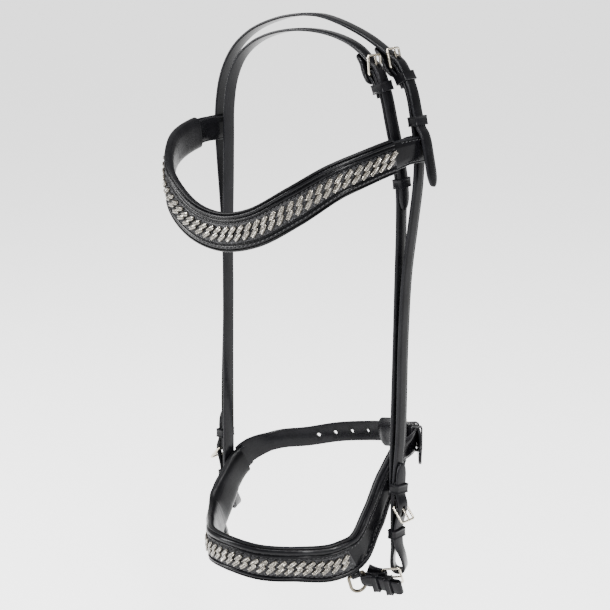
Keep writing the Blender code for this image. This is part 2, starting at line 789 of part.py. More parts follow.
def trim(prefix, line, rows, width, base_t, m):
    """The mesh inlay laid on a band and the chain sewn along it."""
    low = base_t / 2 + 0.4
    for name, wide, thick, slot_name in (
        ("_inlay", width, 0.8, "inlay"),
        ("_chain", width - 3.0, 2.4, "chain"),
    ):
        middle = low + thick / 2
        bar = [(t, h + middle) for t, h in flat_section(wide, thick)]
        sweep(prefix + name, line, lambda s, bar=bar: bar, m[slot_name], rows)
        low += thick + 0.3


def make_noseband(lines, m):
    """The noseband: shaped leather from behind one cheek to the other, padded and trimmed."""
    line = lines["nose"]
    first, last = line.s[0], line.s[-1]
    profile = [(first, 22), (first + 20, 25), (-140, 28), (-110, NOSE_ARM_W), (-70, NOSE_W)]
    profile += [(60, NOSE_W), (90, NOSE_ARM_W), (108, NOSE_ARM_W), (125, 27), (145, 24)]
    profile += [(last, 21)]
    lengths, widths = zip(*profile)
    rows = rows_between(line, first, last)

    def body_section(s):
        return flat_section(float(np.interp(s, lengths, widths)), NOSE_T)

    def padding_section(s):
        return padded_section(float(np.interp(s, lengths, widths)) / 2)

    sweep("noseband_body", line, body_section, m["leather"], rows)
    thing = sweep("noseband_padding", line, padding_section, m["padding"], rows[1:-1])
    holes = []
    for name in ("near_ring", "off_ring"):
        holes.append((box_points(lines[name], -9.5, 10, -6.2, 2.6, 6.0), BOX_FACES))
    cut(thing, "cut_noseband_padding", holes, m["padding"])
    trim("noseband", line, [s for s in rows if -100 < s < 110], 15.0, NOSE_T, m)


def make_ring(line, prefix, m):
    """A D-ring and the folded tab that holds it under the noseband."""
    steps = [(-8, -2.5), (3.0, -2.5), (3.6, 0.6), (8.0, 0.6), (8.0, -4.3), (3.0, -4.3)]
    path = lay(line, steps + [(0.5, -4.3), (-5.5, -4.3)])
    strap(prefix + "_tab", path, [(0, 8.6), (path.s[-1], 8.6)], 1.2, m["leather"])
    bottom = [(5.6, 14.8), (0, 16.8), (-5.6, 14.8)]
    outline = [(RING_HALF, 0), (RING_HALF, 11.6)] + bottom + [(-RING_HALF, 11.6), (-RING_HALF, 0)]
    _, down, _, level = line.at(BAR_DROP)
    centre = line.spot(BAR_DROP, -1.8)
    closed_wire(prefix, outline, centre, level, down, RING_WIRE_R, m["ring"])


def make_chin(lines, m):
    """The chin strap from the off side round the jaw, and the near chape and buckle that take it."""
    line = lines["chin"]
    heel = CHIN_HEEL
    first = line.s[0] + 8
    marks = [(first, 0), (-90, 0), (0, 0), (heel - 30, 0)] + billet_over(heel, -1, CHIN_T)
    marks += [(heel + 40, 3.2), (heel + 45, 4.4, 2), (heel + 52, 6.5, 7), (heel + 60, 9.0, 14)]
    path = lay(line, marks)
    widths = [(0, 26), (12, 25), (34, CHIN_W), (path.s[-1] - 8, CHIN_W), (path.s[-1], 12)]
    thing = strap("chin_strap", path, widths, CHIN_T, m["leather"])
    rod_faces = grid_faces(2, 10, False)
    holes = [(rod_points(line, s, -3, 3, 1.9), rod_faces) for s in (-54, -36.5, -18.5, -0.5)]
    holes.append(slot(line, heel, -1, -1.6, 6.0, 2.2, 9.2))
    cut(thing, "cut_chin_strap", holes, m["leather"])
    last = line.s[-1] - 8
    path = lay(line, folded_end(heel, -1, CHIN_T) + [(heel + 40, 0), (last, 0)])
    widths = [(0, CHIN_W), (path.s[-1], CHIN_W)]
    thing = strap("near_chin_chape", path, widths, CHIN_T, m["leather"])
    cut(thing, "cut_near_chin_chape", [slot(line, heel, -1, -8, 2.2, -2.5, 5.0)], m["leather"])
    buckle("chin_buckle", line, heel, -1, heel_height(CHIN_T), 25, 19.8, m)
    path = lay(line, safe_marks(heel, -1, CHIN_T, 1.8, 46))
    strap("chin_buckle_safe", path, blunt_ends(path, 27.0, 7, 5), 1.8, m["leather"])
    keeper("chin_keeper_upper", line, heel + 13, -4.8, 4.9, CHIN_W, 8, m["leather"])
    keeper("chin_keeper_lower", line, heel + 34, -1.4, 4.9, CHIN_W, 8, m["leather"])


def make_flash(lines, m):
    """The flash strap, hung on the near D-ring, buckled and rolled up in its keepers."""
    line = lines["flash"]
    heel, h, t = 15.0, -4.6, -2.2
    tail = folded_end(heel, 1, FLASH_T, h, t)
    marks = [(heel - 14, tail[0][1], 5.0), (heel - 7, tail[1][1], 1.0)] + tail[2:]
    marks += [(heel - 8, h, t), (3, -3.3, 0.0), (-3.0, -3.1, 0.0), (-3.0, 3.1, 0.0)]
    marks += [(3, 2.9, 0.0), (9, 1.8, -0.8), (26, 1.8, -3.4), (34, 1.8, -4.6), (34, 6.4, -4.6)]
    marks += [(29, 6.4, -4.0), (17, 4.3, -2.0), (8, 4.3, -0.6)]
    path = lay(line, marks)
    widths = [(0, FLASH_W), (24, FLASH_W), (28, 8.6), (47, 8.6), (53, FLASH_W)]
    widths += blunt_ends(path, FLASH_W, 0, 9)[-4:]
    thing = strap("flash_strap", path, widths, FLASH_T, m["leather"])
    holes = [(box_points(line, heel - 2.5, heel + 4.5, -13.0, -2.6, 1.6, t), BOX_FACES)]
    cut(thing, "cut_flash_strap", holes, m["leather"])
    buckle("flash_buckle", line, heel, 1, h + heel_height(FLASH_T), -8, FLASH_W + 0.8, m, t)
    keeper("flash_keeper_inner", line, 11.5, 0.7, 5.6, FLASH_W + 1.6, 6, m["leather"], -1.2)
    keeper("flash_keeper_outer", line, 23.5, 0.7, 6.8, FLASH_W + 1.6, 6, m["leather"], -3.0)


def main():
    for thing in list(bpy.data.objects):
        bpy.data.objects.remove(thing)
    lines = make_lines()
    materials = make_materials()
    make_headpiece(lines, materials)
    make_near_cheek(lines, materials)
    make_crown_buckle(lines, materials)
    make_hanger(lines, materials)
    make_near_hanger(lines, materials)
    make_hanger_buckle(lines, materials)
    make_bit_buckle(lines, "near_bit", 1, NEAR_BIT_HEEL_Z, materials)
    make_bit_buckle(lines, "off_bit", -1, OFF_BIT_HEEL_Z, materials)
    make_browband(lines, materials)
    make_noseband(lines, materials)
    make_ring(lines["near_ring"], "near_dring", materials)
    make_ring(lines["off_ring"], "off_dring", materials)
    make_chin(lines, materials)
    make_flash(lines, materials)


main()
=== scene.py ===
"""Looks of the snaffle bridle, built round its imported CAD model.

Every strap follows the same middle line as its CAD solid, with rounded and creased edges, rows of stitches,
padded rolls, and chains of links set with small stones. Dimensions are in millimetres until the mesh is made.
"""

import math

import bmesh
import bpy
import numpy as np
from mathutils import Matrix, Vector


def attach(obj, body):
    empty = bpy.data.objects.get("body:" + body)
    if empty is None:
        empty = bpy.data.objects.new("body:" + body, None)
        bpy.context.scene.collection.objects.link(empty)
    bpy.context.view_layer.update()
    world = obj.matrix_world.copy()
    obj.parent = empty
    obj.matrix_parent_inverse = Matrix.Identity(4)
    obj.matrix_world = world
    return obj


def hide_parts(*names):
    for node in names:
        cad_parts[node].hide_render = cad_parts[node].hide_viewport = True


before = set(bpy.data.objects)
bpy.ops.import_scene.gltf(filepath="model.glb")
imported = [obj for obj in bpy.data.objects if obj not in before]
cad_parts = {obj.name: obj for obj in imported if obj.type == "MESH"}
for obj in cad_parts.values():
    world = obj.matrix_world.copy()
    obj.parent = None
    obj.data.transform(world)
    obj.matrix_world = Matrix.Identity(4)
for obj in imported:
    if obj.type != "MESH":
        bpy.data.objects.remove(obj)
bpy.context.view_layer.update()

MM = 0.001

# Leather thicknesses and widths
STRAP_T = 2.4
STRAP_W = 13.0
BILLET_W = 12.2
THIN_T = 1.0
BROW_T = 2.0
NOSE_T = 2.4
NOSE_W = 27.5
NOSE_ARM_W = 30.5
NOSE_LEAN_OFF = 0.22
NOSE_LEAN_NEAR = 0.08
CHIN_W = 19.0
CHIN_T = 2.6
FLASH_W = 12.0
FLASH_T = 2.0
GAP = 0.4
FOLD_GAP = 0.35

# Metal
WIRE_R = 0.95
BUCKLE_LENGTH = 15.0
TONGUE_W = 2.4
TONGUE_T = 0.8
RING_WIRE_R = 1.25

# Height of the outer strap's middle over the poll, which puts its flat underside at the origin
POLL_Z = 1.211

# Stations along the straps that more than one piece refers to, as heights of the strap's middle line
CROWN_HEEL_Z = -36.0
HANGER_HEEL_Z = -41.5
NEAR_BIT_HEEL_Z = -404.0
OFF_BIT_HEEL_Z = -403.0

# Arc lengths from the middle of the line they are on
RING_AT = 110.5
RING_SLOPE = 0.6
RING_HALF = 7.0
BAR_DROP = 5.6
CHIN_HEEL = 62.0

# Middle lines of the straps on the horse. The two straps over the poll lie further apart on the
# near side, where their buckles are.
CHEEK_POLL_OFF = [
    (12, 0, 0.7), (35, 0, -3), (66, 0, -14), (89, 0.5, -31), (103.5, 1, -54), (110, 1.5, -80),
]
CHEEK_POLL_NEAR = [
    (12, 0, 0.7), (35, 0, -4.6), (64, 2, -16.5), (85, 5, -31.5), (99, 6, -52), (107, 6, -80),
]
CHEEK_OFF = [
    (111.5, 2, -105), (111, 3, -130), (108, 3, -165), (105, 2.5, -205), (103.6, 1.5, -260),
    (103.4, -2.5, -350), (103.4, -2.5, -400), (103.4, -2, -490),
]
CHEEK_NEAR = [
    (111, 6, -105), (111, 5.5, -130), (108.5, 3, -165), (105.5, 0, -205), (104, -1.5, -260),
    (103.8, -3, -350), (103.8, -8, -395), (103.8, -8, -430), (103.8, -5, -490),
]
HANGER_POLL_OFF = [(32, -6.5, -14.5), (58, -6, -23.5), (76, -6, -37), (87, -6, -56), (92, -6, -80)]
HANGER_POLL_NEAR = [(32, -7, -14), (60, -9.5, -23), (79, -12.8, -37), (88, -11.5, -57), (92, -8, -81)]
HANGER_NEAR = [
    (96, -4, -108), (98.5, -1, -135), (99, -0.5, -165), (98.8, -1, -205), (98.4, -1.5, -260),
    (98.4, -3, -330), (98.4, -5, -440),
]
HANGER_OFF = [
    (94, -5, -110), (96, -4, -150), (97.5, -4, -195), (98.3, -4, -260), (98.4, -5, -330),
    (98.4, -6, -440),
]
BROW_HALF = [
    (36, -110, -160), (70, -100, -140.5), (93, -79, -121.5), (105, -59, -112.5), (111.5, -33, -105.5),
    (113.7, -8, -102), (113.7, 22, -102),
]
NOSE_NEAR = [
    (31, -99, -449.5), (57.5, -80.5, -449.5), (76.5, -55.5, -450), (87, -38, -441), (90.7, -23.5, -419),
    (92, -10, -395), (93.3, 0, -379), (93.3, 9, -368), (91, 21, -361),
]
NOSE_OFF = [
    (-31, -96, -450.5), (-51, -76, -454), (-70, -54.5, -456.5), (-83.5, -37.5, -453.5),
    (-90, -24, -443), (-92.7, -11.5, -430), (-93.2, 1, -418), (-91.5, 14, -411),
]
CHIN_POINTS = [
    (-96.8, 1, -418), (-96.2, 12, -412), (-93, 28, -407), (-81, 47, -402), (-61, 63, -399),
    (-32, 75.5, -391), (0, 81, -384), (29, 79, -377.5), (52, 70, -371.5), (71, 56, -366),
    (86, 40, -363), (94.4, 24, -361.5), (96.8, 12, -362), (97.2, 0, -363),
]


def unit(v):
    return v / np.linalg.norm(v, axis=-1, keepdims=True)


def through_points(points, per_span=24):
    """A smooth curve through the points: centripetal Catmull-Rom, sampled densely."""
    p = np.array(points, float)
    p = np.vstack([2 * p[0] - p[1], p, 2 * p[-1] - p[-2]])
    samples = []
    for a, b, c, d in zip(p[:-3], p[1:-2], p[2:-1], p[3:]):
        k0 = 0.0
        k1 = k0 + math.sqrt(np.linalg.norm(b - a))
        k2 = k1 + math.sqrt(np.linalg.norm(c - b))
        k3 = k2 + math.sqrt(np.linalg.norm(d - c))
        k = np.linspace(k1, k2, per_span, endpoint=False)[:, None]
        ab = (a * (k1 - k) + b * (k - k0)) / (k1 - k0)
        bc = (b * (k2 - k) + c * (k - k1)) / (k2 - k1)
        cd = (c * (k3 - k) + d * (k - k2)) / (k3 - k2)
        abc = (ab * (k2 - k) + bc * (k - k0)) / (k2 - k0)
        bcd = (bc * (k3 - k) + cd * (k - k1)) / (k3 - k1)
        samples.append((abc * (k2 - k) + bcd * (k - k1)) / (k2 - k1))
    samples.append(p[-2][None, :])
    return np.vstack(samples)


def between_points(marks):
    """A smooth curve held inside the polyline of the marks: a quadratic B-spline with fixed ends."""
    p = np.array(marks, float)
    if len(p) == 2:
        return np.linspace(p[0], p[1], 61)
    mids = (p[1:] + p[:-1]) / 2
    starts = np.vstack([p[:1], mids[1:-1]])
    ends = np.vstack([mids[1:-1], p[-1:]])
    samples = []
    for a, corner, b in zip(starts, p[1:-1], ends):
        reach = np.linalg.norm(corner[:2] - a[:2]) + np.linalg.norm(b[:2] - corner[:2])
        k = np.linspace(0, 1, max(16, int(reach)), endpoint=False)[:, None]
        samples.append(a * (1 - k) ** 2 + 2 * corner * k * (1 - k) + b * k**2)
    samples.append(p[-1:])
    return np.vstack(samples)


class Line:
    """A curve in space with, at each place, a direction along it, one outward and one across it."""

    def __init__(self, points, across, zero_at=None):
        self.p = np.array(points, float)
        self.t = unit(np.gradient(self.p, axis=0))
        across = np.broadcast_to(np.array(across, float), self.p.shape)
        self.n = unit(np.cross(self.t, across))
        self.w = np.cross(self.n, self.t)
        steps = np.linalg.norm(np.diff(self.p, axis=0), axis=1)
        self.s = np.concatenate([[0.0], np.cumsum(steps)])
        if zero_at is not None:
            self.s = self.s - self.s[zero_at]

    def at(self, s):
        """Place, along, outward and across directions at arc length s."""
        values = []
        for table in (self.p, self.t, self.n, self.w):
            values.append(np.array([np.interp(s, self.s, table[:, i]) for i in range(3)]))
        place, along, outward, across = values
        return place, unit(along), unit(outward), unit(across)

    def spot(self, s, h=0.0, t=0.0):
        place, _, outward, across = self.at(s)
        return place + h * outward + t * across

    def s_at_height(self, z, side):
        """Arc length at which the near (side 1) or off (side -1) half comes down to height z."""
        half = self.s * side >= 0
        order = np.argsort(self.s[half] * side)
        heights = self.p[half][order][:, 2]
        lengths = (self.s[half] * side)[order]
        return side * float(np.interp(-z, -heights, lengths))


def line_over(off_half, middle, near_half, across):
    """A line from the off side, through the middle, to the near side. off_half is given mirrored."""
    off = [(-x, y, z) for x, y, z in reversed(off_half)]
    points = through_points(off + [middle] + list(near_half))
    return Line(points, across, zero_at=int(np.argmin(np.abs(points[:, 0]))))


def lay(line, marks):
    """A path laid on a line. Each mark is (along, outward, across, twist in degrees)."""
    full = [tuple(m) + (0.0,) * (4 - len(m)) for m in marks]
    points, across = [], []
    for s, h, t, twist in between_points(full):
        place, _, outward, side = line.at(s)
        turn = math.radians(twist)
        points.append(
            place
            + (h * math.cos(turn) + t * math.sin(turn)) * outward
            + (t * math.cos(turn) - h * math.sin(turn)) * side
        )
        across.append(math.cos(turn) * side + math.sin(turn) * outward)
    return Line(points, np.array(across))


def grid_faces(rows, columns, closed):
    """Quads between successive rows of a grid whose columns run round, with end caps unless closed."""
    faces = []
    for i in range(rows if closed else rows - 1):
        for j in range(columns):
            a, b = i * columns, (i + 1) % rows * columns
            k = (j + 1) % columns
            faces.append((a + j, a + k, b + k, b + j))
    if not closed:
        faces.append(tuple(reversed(range(columns))))
        faces.append(tuple(range((rows - 1) * columns, rows * columns)))
    return faces


def rounded_box(u0, u1, v0, v1, r, steps=3):
    """Outline of a rectangle with rounded corners."""
    outline = []
    corners = ((u1 - r, v1 - r, 0), (u0 + r, v1 - r, 90), (u0 + r, v0 + r, 180), (u1 - r, v0 + r, 270))
    for cu, cv, start in corners:
        for k in range(steps):
            angle = math.radians(start + 90 * k / (steps - 1))
            outline.append((cu + r * math.cos(angle), cv + r * math.sin(angle)))
    return outline


def box_points(line, s0, s1, h0, h1, half, t=0.0):
    """Eight corners of a cutter block standing on the line."""
    points = []
    for s in (s0, s1):
        for a, h in ((-half, h0), (half, h0), (half, h1), (-half, h1)):
            points.append(line.spot(s, h, t + a))
    return points


BOX_FACES = [(0, 1, 2, 3), (7, 6, 5, 4), (0, 4, 5, 1), (1, 5, 6, 2), (2, 6, 7, 3), (3, 7, 4, 0)]


def rod_points(line, s, h0, h1, radius, sides=24):
    """Corners of a round cutter standing on the line."""
    place, along, outward, across = line.at(s)
    points = []
    for h in (h0, h1):
        for k in range(sides):
            a = 2 * math.pi * k / sides
            points.append(
                place + h * outward + radius * (math.cos(a) * along + math.sin(a) * across)
            )
    return points


def folded_end(heel, way, thickness, h=0.0, t=0.0):
    """Marks of a strap's end folded inward round a heel bar, ready to run on from the bar."""
    r = WIRE_R + FOLD_GAP + thickness / 2
    body = -way
    under = h - thickness - 0.4
    return [
        (heel + body * 20, under, t),
        (heel + body * 8, under, t),
        (heel + body * r, h - 2 * r, t),
        (heel - body * r, h - 2 * r, t),
        (heel - body * r, h, t),
        (heel + body * r, h, t),
    ]


def billet_over(heel, way, thickness):
    """Marks of a billet that comes under the front bar and over the folded end, then lies on it."""
    body = -way
    return [
        (heel - body * 26, 0.0),
        (heel - body * 11.5, 0.0),
        (heel - body * 1, thickness + 1.0),
        (heel + body * 6, thickness + 0.6),
        (heel + body * 15, thickness + GAP),
    ]


def safe_marks(heel, way, strap_t, safe_t, reach):
    """Marks of the flap that lies inside a buckle, reaching past its front bar."""
    body = -way
    r = WIRE_R + FOLD_GAP + strap_t / 2
    deep = -(2 * r + strap_t / 2 + GAP + safe_t / 2)
    shallow = -(strap_t / 2 + GAP + safe_t / 2)
    return [
        (heel - body * reach, shallow - 0.6),
        (heel - body * 14, shallow - 1.2),
        (heel - body * 6, deep - 0.2),
        (heel + body * 3, deep - 0.2),
        (heel + body * 7.6, deep + 1.0),
    ]


def heel_height(thickness):
    """Height of a heel bar that an inward fold of this thickness goes round."""
    return -(WIRE_R + FOLD_GAP + thickness / 2)


def bit_end(heel, side, sway, reach):
    """Marks from the cheek down round the bit and back up to the billet's tip.

    The loop hangs to reach below the bar, carried backward by sway, its eye turned to the front.
    """
    steps = [
        (30, 0.0, 0.0, 0.0),
        (reach - 24, -0.6, 0.1 * sway, -10.0),
        (reach - 14, -3.2, 0.5 * sway, -24.0),
        (reach, -3.2, sway, -24.0),
        (reach, 8.2, sway, -24.0),
        (reach - 14, 7.0, 0.5 * sway, -24.0),
        (reach - 24, 3.6, 0.1 * sway, -10.0),
        (32, 2.8, 0.0, 0.0),
        (22, 2.8, 0.0, 0.0),
        (14, 4.3, 0.0, 0.0),
        (3, 8.0, 0.0, 0.0),
        (-3, 7.8, 0.0, 0.0),
        (-8, 5.2, 0.0, 0.0),
        (-14, 4.3, 0.0, 0.0),
        (-24, 4.0, 0.0, 0.0),
        (-37, 3.4, 0.0, 0.0),
    ]
    return [(heel + side * d, h, t, side * twist) for d, h, t, twist in steps]


def make_lines():
    """The straps' middle lines, by name."""
    back = (0, 1, 0)
    up = (0, 0, 1)
    lines = {
        "cheek": line_over(
            CHEEK_POLL_OFF + CHEEK_OFF, (0, 0, POLL_Z), CHEEK_POLL_NEAR + CHEEK_NEAR, back
        ),
        "hanger": line_over(
            HANGER_POLL_OFF + HANGER_OFF, (0, -6.5, -11), HANGER_POLL_NEAR + HANGER_NEAR, back
        ),
        "brow": line_over(BROW_HALF, (0, -112, -167), BROW_HALF, up),
    }
    nose = through_points(list(reversed(NOSE_OFF)) + [(0, -104, -448.5)] + NOSE_NEAR)
    middle = int(np.argmin(np.abs(nose[:, 0])))
    upright = Line(nose, up, zero_at=middle)
    lean = np.interp(
        upright.s,
        [-150, -125, -75, -40, 40, 75, 125, 150],
        [0, NOSE_LEAN_OFF, NOSE_LEAN_OFF, 0, 0, NOSE_LEAN_NEAR, NOSE_LEAN_NEAR, 0],
    )
    lines["nose"] = Line(nose, np.array(up) + lean[:, None] * upright.n, zero_at=middle)
    chin = through_points(CHIN_POINTS)
    lines["chin"] = Line(chin, (0, 0, -1), zero_at=int(np.argmin(np.abs(chin[:, 0]))))
    lines["near_ring"] = ring_line(lines["nose"], RING_AT)
    lines["off_ring"] = ring_line(lines["nose"], -RING_AT)
    leg, down, outward, level = lines["near_ring"].at(BAR_DROP + 7.7)
    leg = leg + RING_HALF * level - 1.8 * outward
    direction = unit(0.72 * level + 0.69 * outward)
    lines["flash"] = Line(between_points([leg - 10 * direction, leg + 50 * direction]), -down, 10)
    return lines


def ring_line(nose, s):
    """A line down the noseband's outside at s, its zero on the lower edge."""
    place, along, outward, rise = nose.at(s)
    level = unit(along * (1, 1, RING_SLOPE))
    down = unit(np.cross(level, outward))
    edge = place + down * NOSE_ARM_W / 2 / abs(float(down @ rise))
    return Line(np.linspace(edge - 30 * down, edge + 30 * down, 61), level, 30)


# Detail of the leatherwork
STITCH_PITCH = 3.9
STITCH_LENGTH = 2.7
STITCH_R = 0.26
STITCH_IN = 2.6
CREASE_IN = 1.5
CREASE_DEPTH = 0.3
TIP = 13.0
KEEPER_T = 1.2
KEEPER_BAND = 8.0
SAFE_T = 1.6
CHIN_SAFE_T = 1.8
TONGUE_SLOT_HALF = 1.7
TOP_TILT = 25.0
BIT_TILT = 42.0
# Rolls along the bands: side, insets of their two borders from the band's edge, and height
BROW_ROLLS = ((1, 3.4, 0.2, 1.75), (1, 6.3, 3.7, 1.1), (-1, 0.2, 3.7, 1.0), (-1, 3.8, 4.7, 1.7))
NOSE_ROLLS = ((1, 5.3, -0.3, 2.3), (1, 7.6, 5.5, 1.3), (-1, 0.2, 2.6, 1.2))
BEAD_R = 0.42
BEAD_PITCH = 1.05
# Chains: pitch of the links, degrees their bars lean from the band, and shift between the two rows
BROW_CHAIN = (8.4, 34.0, 2.0)
NOSE_CHAIN = (7.6, 41.0, 1.0)
BAR_LENGTH = 9.4
BAR_WIDTH = 4.1
BAR_STONES = 7
BAR_RISE = 2.7
BAR_LOW = 2.1
BAR_HIGH = 4.1
STONE_R = 0.66
# Place of a piece's second material in its list: the thread of leather, the stones of a chain
SECOND = 1


def stations(path, sag=0.035, longest=5.0):
    """Arc lengths close enough together for a smooth sweep."""
    steps = np.maximum(np.diff(path.s), 1e-6)
    bend = np.maximum(np.linalg.norm(np.diff(path.t, axis=0), axis=1) / steps, 1e-6)
    wanted = np.minimum(np.minimum(np.sqrt(8 * sag / bend), 0.3 / bend), longest)
    count = np.concatenate([[0.0], np.cumsum(steps / wanted)])
    total = max(4, math.ceil(count[-1]))
    return [float(np.interp(count[-1] * k / total, count, path.s)) for k in range(total + 1)]


class Piece:
    """Vertices and faces gathered for one visible piece, with a place value for its materials."""

    def __init__(self):
        self.points, self.faces, self.kinds, self.place = [], [], [], []

    def add(self, points, faces, kind=0, place=None):
        start = len(self.points)
        self.points += [tuple(p) for p in points]
        self.faces += [tuple(start + i for i in face) for face in faces]
        self.kinds += [kind] * len(faces)
        self.place += place if place is not None else [(0.0, 0.0, 0.0)] * len(points)

    def mesh(self, name):
        """A mesh in metres, with its faces turned outward."""
        mesh = bpy.data.meshes.new(name)
        mesh.from_pydata([tuple(c * MM for c in p) for p in self.points], [], self.faces)
        mesh.polygons.foreach_set("material_index", self.kinds)
        layer = mesh.attributes.new("place", "FLOAT_VECTOR", "POINT")
        layer.data.foreach_set("vector", np.array(self.place, np.float32).ravel())
        shape = bmesh.new()
        shape.from_mesh(mesh)
        bmesh.ops.recalc_face_normals(shape, faces=shape.faces)
        shape.to_mesh(mesh)
        shape.free()
        return mesh

    def make(self, name, materials, body, node, crease=50):
        """The finished object, which rides a body and stands for one CAD node."""
        mesh = self.mesh(name)
        for material in materials:
            mesh.materials.append(material)
        mesh.shade_smooth()
        mesh.set_sharp_from_angle(angle=math.radians(crease))
        thing = link_object(name, mesh)
        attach(thing, body)
        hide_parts(node)
        return thing


def link_object(name, data):
    thing = bpy.data.objects.new(name, data)
    bpy.context.scene.collection.objects.link(thing)
    return thing


def sweep(piece, path, section, rows):
    """section(s) gives [(across, outward, edge value), ...] round the solid at arc length s."""
    points, place = [], []
    for s in rows:
        spot, _, outward, across = path.at(s)
        ring = section(s)
        half = max(abs(r[0]) for r in ring)
        for t, h, edge in ring:
            points.append(spot + t * across + h * outward)
            place.append((s * MM, t / half, edge))
    piece.add(points, grid_faces(len(rows), len(ring), False), place=place)


def strap_section(width, thickness):
    """A strap with round edges and a pressed crease line inside each edge of its face."""
    a, b = width / 2, thickness / 2
    r = min(0.95 * b, a * 0.4)
    inset = min(CREASE_IN, a * 0.35)
    lip = 0.2 * inset
    face = [(a - r, b, 0.7), (a - inset + lip, b, 0.5), (a - inset, b - CREASE_DEPTH, 0.0)]
    face += [(a - inset - lip, b + 0.02, 0.1), (a * 0.4, b + 0.2, 0.0)]
    arc = []
    for angle in (60, 25, -25, -60):
        turn = math.radians(angle)
        arc.append((a - r + r * math.cos(turn), b * math.sin(turn), 1.0))
    side = list(reversed(face)) + arc + [(a - r, -b, 0.6)]
    return side + [(-t, h, edge) for t, h, edge in reversed(side)]


def ribbon(piece, path, widths, thickness, rows=None):
    """A strap along a path. Its width runs between the (arc length, width) pairs."""
    lengths, values = zip(*widths)
    at = sorted(set(rows if rows is not None else stations(path)) | {s for s, _ in widths})
    keep = [at[0]]
    for s in at[1:]:
        if s - keep[-1] > 0.3:
            keep.append(s)
    keep[-1] = at[-1]

    def section(s):
        return strap_section(float(np.interp(s, lengths, values)), thickness)

    sweep(piece, path, section, keep)


def round_ends(path, width, start=0.0, end=0.0):
    """Widths of a strap that narrows over the given lengths to a smoothly rounded end."""
    a, b = path.s[0], path.s[-1]
    widths = []
    for length, edge, way in ((start, a, 1), (end, b, -1)):
        if not length:
            widths.append((edge, width))
            continue
        for k in range(9):
            turn = math.pi / 2 * k / 8
            share = 1 - math.cos(turn)
            widths.append((edge + way * length * share, width * max(0.12, math.sin(turn) ** 0.8)))
    return sorted(set(widths))


def tip(path, width, length=TIP):
    """Widths over the rounded tip at a path's end."""
    return [w for w in round_ends(path, width, 0, length) if w[0] > path.s[-1] - length - 1]


def stitches(piece, path, first, last, t, h):
    """A row of short raised stitches from first to last, at t across, which may be a function of s."""
    count = max(1, int((last - first) / STITCH_PITCH))
    for k in range(count):
        s = first + (k + 0.5) * (last - first) / count
        spot, along, outward, across = path.at(s)
        centre = spot + (t(s) if callable(t) else t) * across + h * outward
        slant = unit(along + 0.12 * across)
        side = np.cross(outward, slant)
        points = []
        for reach, radius, lift in ((-0.5, 0.3, -0.3), (-0.3, 1, 0), (0.3, 1, 0), (0.5, 0.3, -0.3)):
            middle = centre + reach * STITCH_LENGTH * slant
            for angle in range(90, 450, 72):
                turn = math.radians(angle)
                ring = math.cos(turn) * side + math.sin(turn) * outward * 0.8
                points.append(middle + STITCH_R * (radius * ring + lift * outward))
        piece.add(points, grid_faces(4, 5, False), SECOND)


def wire(piece, loop, centre, u, v, radius, sides=14):
    """A closed wire of round section along a flat outline."""
    flat = np.array(loop, float)
    normal = np.cross(u, v)
    points, place = [], []
    length = 0.0
    for i, (a, b) in enumerate(flat):
        ahead = unit(flat[(i + 1) % len(flat)] - flat[i])
        behind = unit(flat[i] - flat[i - 1])
        tangent = unit(ahead + behind)
        away = tangent[1] * u - tangent[0] * v
        stretch = 1 / max(float(tangent @ ahead), 0.7)
        length += float(np.linalg.norm(flat[i] - flat[i - 1]))
        for k in range(sides):
            angle = 2 * math.pi * (k + 0.5) / sides
            ring = math.cos(angle) * stretch * away + math.sin(angle) * normal
            points.append(centre + a * u + b * v + radius * ring)
            place.append((length * MM, math.sin(angle), 0.0))
    piece.add(points, grid_faces(len(flat), sides, True), place=place)


def keeper(node, line, s, low, high, width, body, m, band=KEEPER_BAND, t=0.0):
    """A leather loop with a raised line along each edge, round what lies between two heights."""
    spot, along, outward, across = line.at(s)
    inner = rounded_box(t - width / 2 - GAP, t + width / 2 + GAP, low - GAP, high + GAP, 0.9, 5)
    flat = np.array(inner, float)
    rise = [(-1, 0.0), (-0.97, 0.6), (-0.9, 1.05), (-0.78, 1.12), (-0.68, 0.92), (-0.3, 0.86)]
    rise += [(-x, y) for x, y in reversed(rise)]
    points, place = [], []
    for i, (x, y) in enumerate(flat):
        ahead = unit(flat[(i + 1) % len(flat)] - flat[i - 1])
        base = spot + x * across + y * outward
        away = ahead[1] * across - ahead[0] * outward
        for k, up in rise:
            points.append(base + k * band / 2 * along + up * KEEPER_T * away)
            place.append((i * 0.002, k, 1.0 if abs(k) > 0.9 else 0.2))
    piece = Piece()
    piece.add(points, grid_faces(len(flat), len(rise), True), place=place)
    piece.make(node + ".leather", [m["leather"]], body, node)


def cut(thing, cutters):
    """Takes cutters, each (points, faces), out of a finished piece."""
    shape = Piece()
    for points, faces in cutters:
        shape.add(points, faces)
    cutter = link_object("cutter", shape.mesh("cutter"))
    modifier = thing.modifiers.new("holes", "BOOLEAN")
    modifier.operation = "DIFFERENCE"
    modifier.solver = "EXACT"
    modifier.object = cutter
    bpy.context.view_layer.update()
    seen = thing.evaluated_get(bpy.context.evaluated_depsgraph_get())
    result = bpy.data.meshes.new_from_object(seen)
    thing.modifiers.remove(modifier)
    thing.data = result
    result.set_sharp_from_angle(angle=math.radians(50))
    bpy.data.objects.remove(cutter)


def slot_box(line, heel, way, h0, h1, near, far):
    """A cutter for the slot that a tongue stands in, from near to far past the heel bar."""
    ends = sorted((heel + way * near, heel + way * far))
    return box_points(line, ends[0], ends[1], h0, h1, TONGUE_SLOT_HALF), BOX_FACES


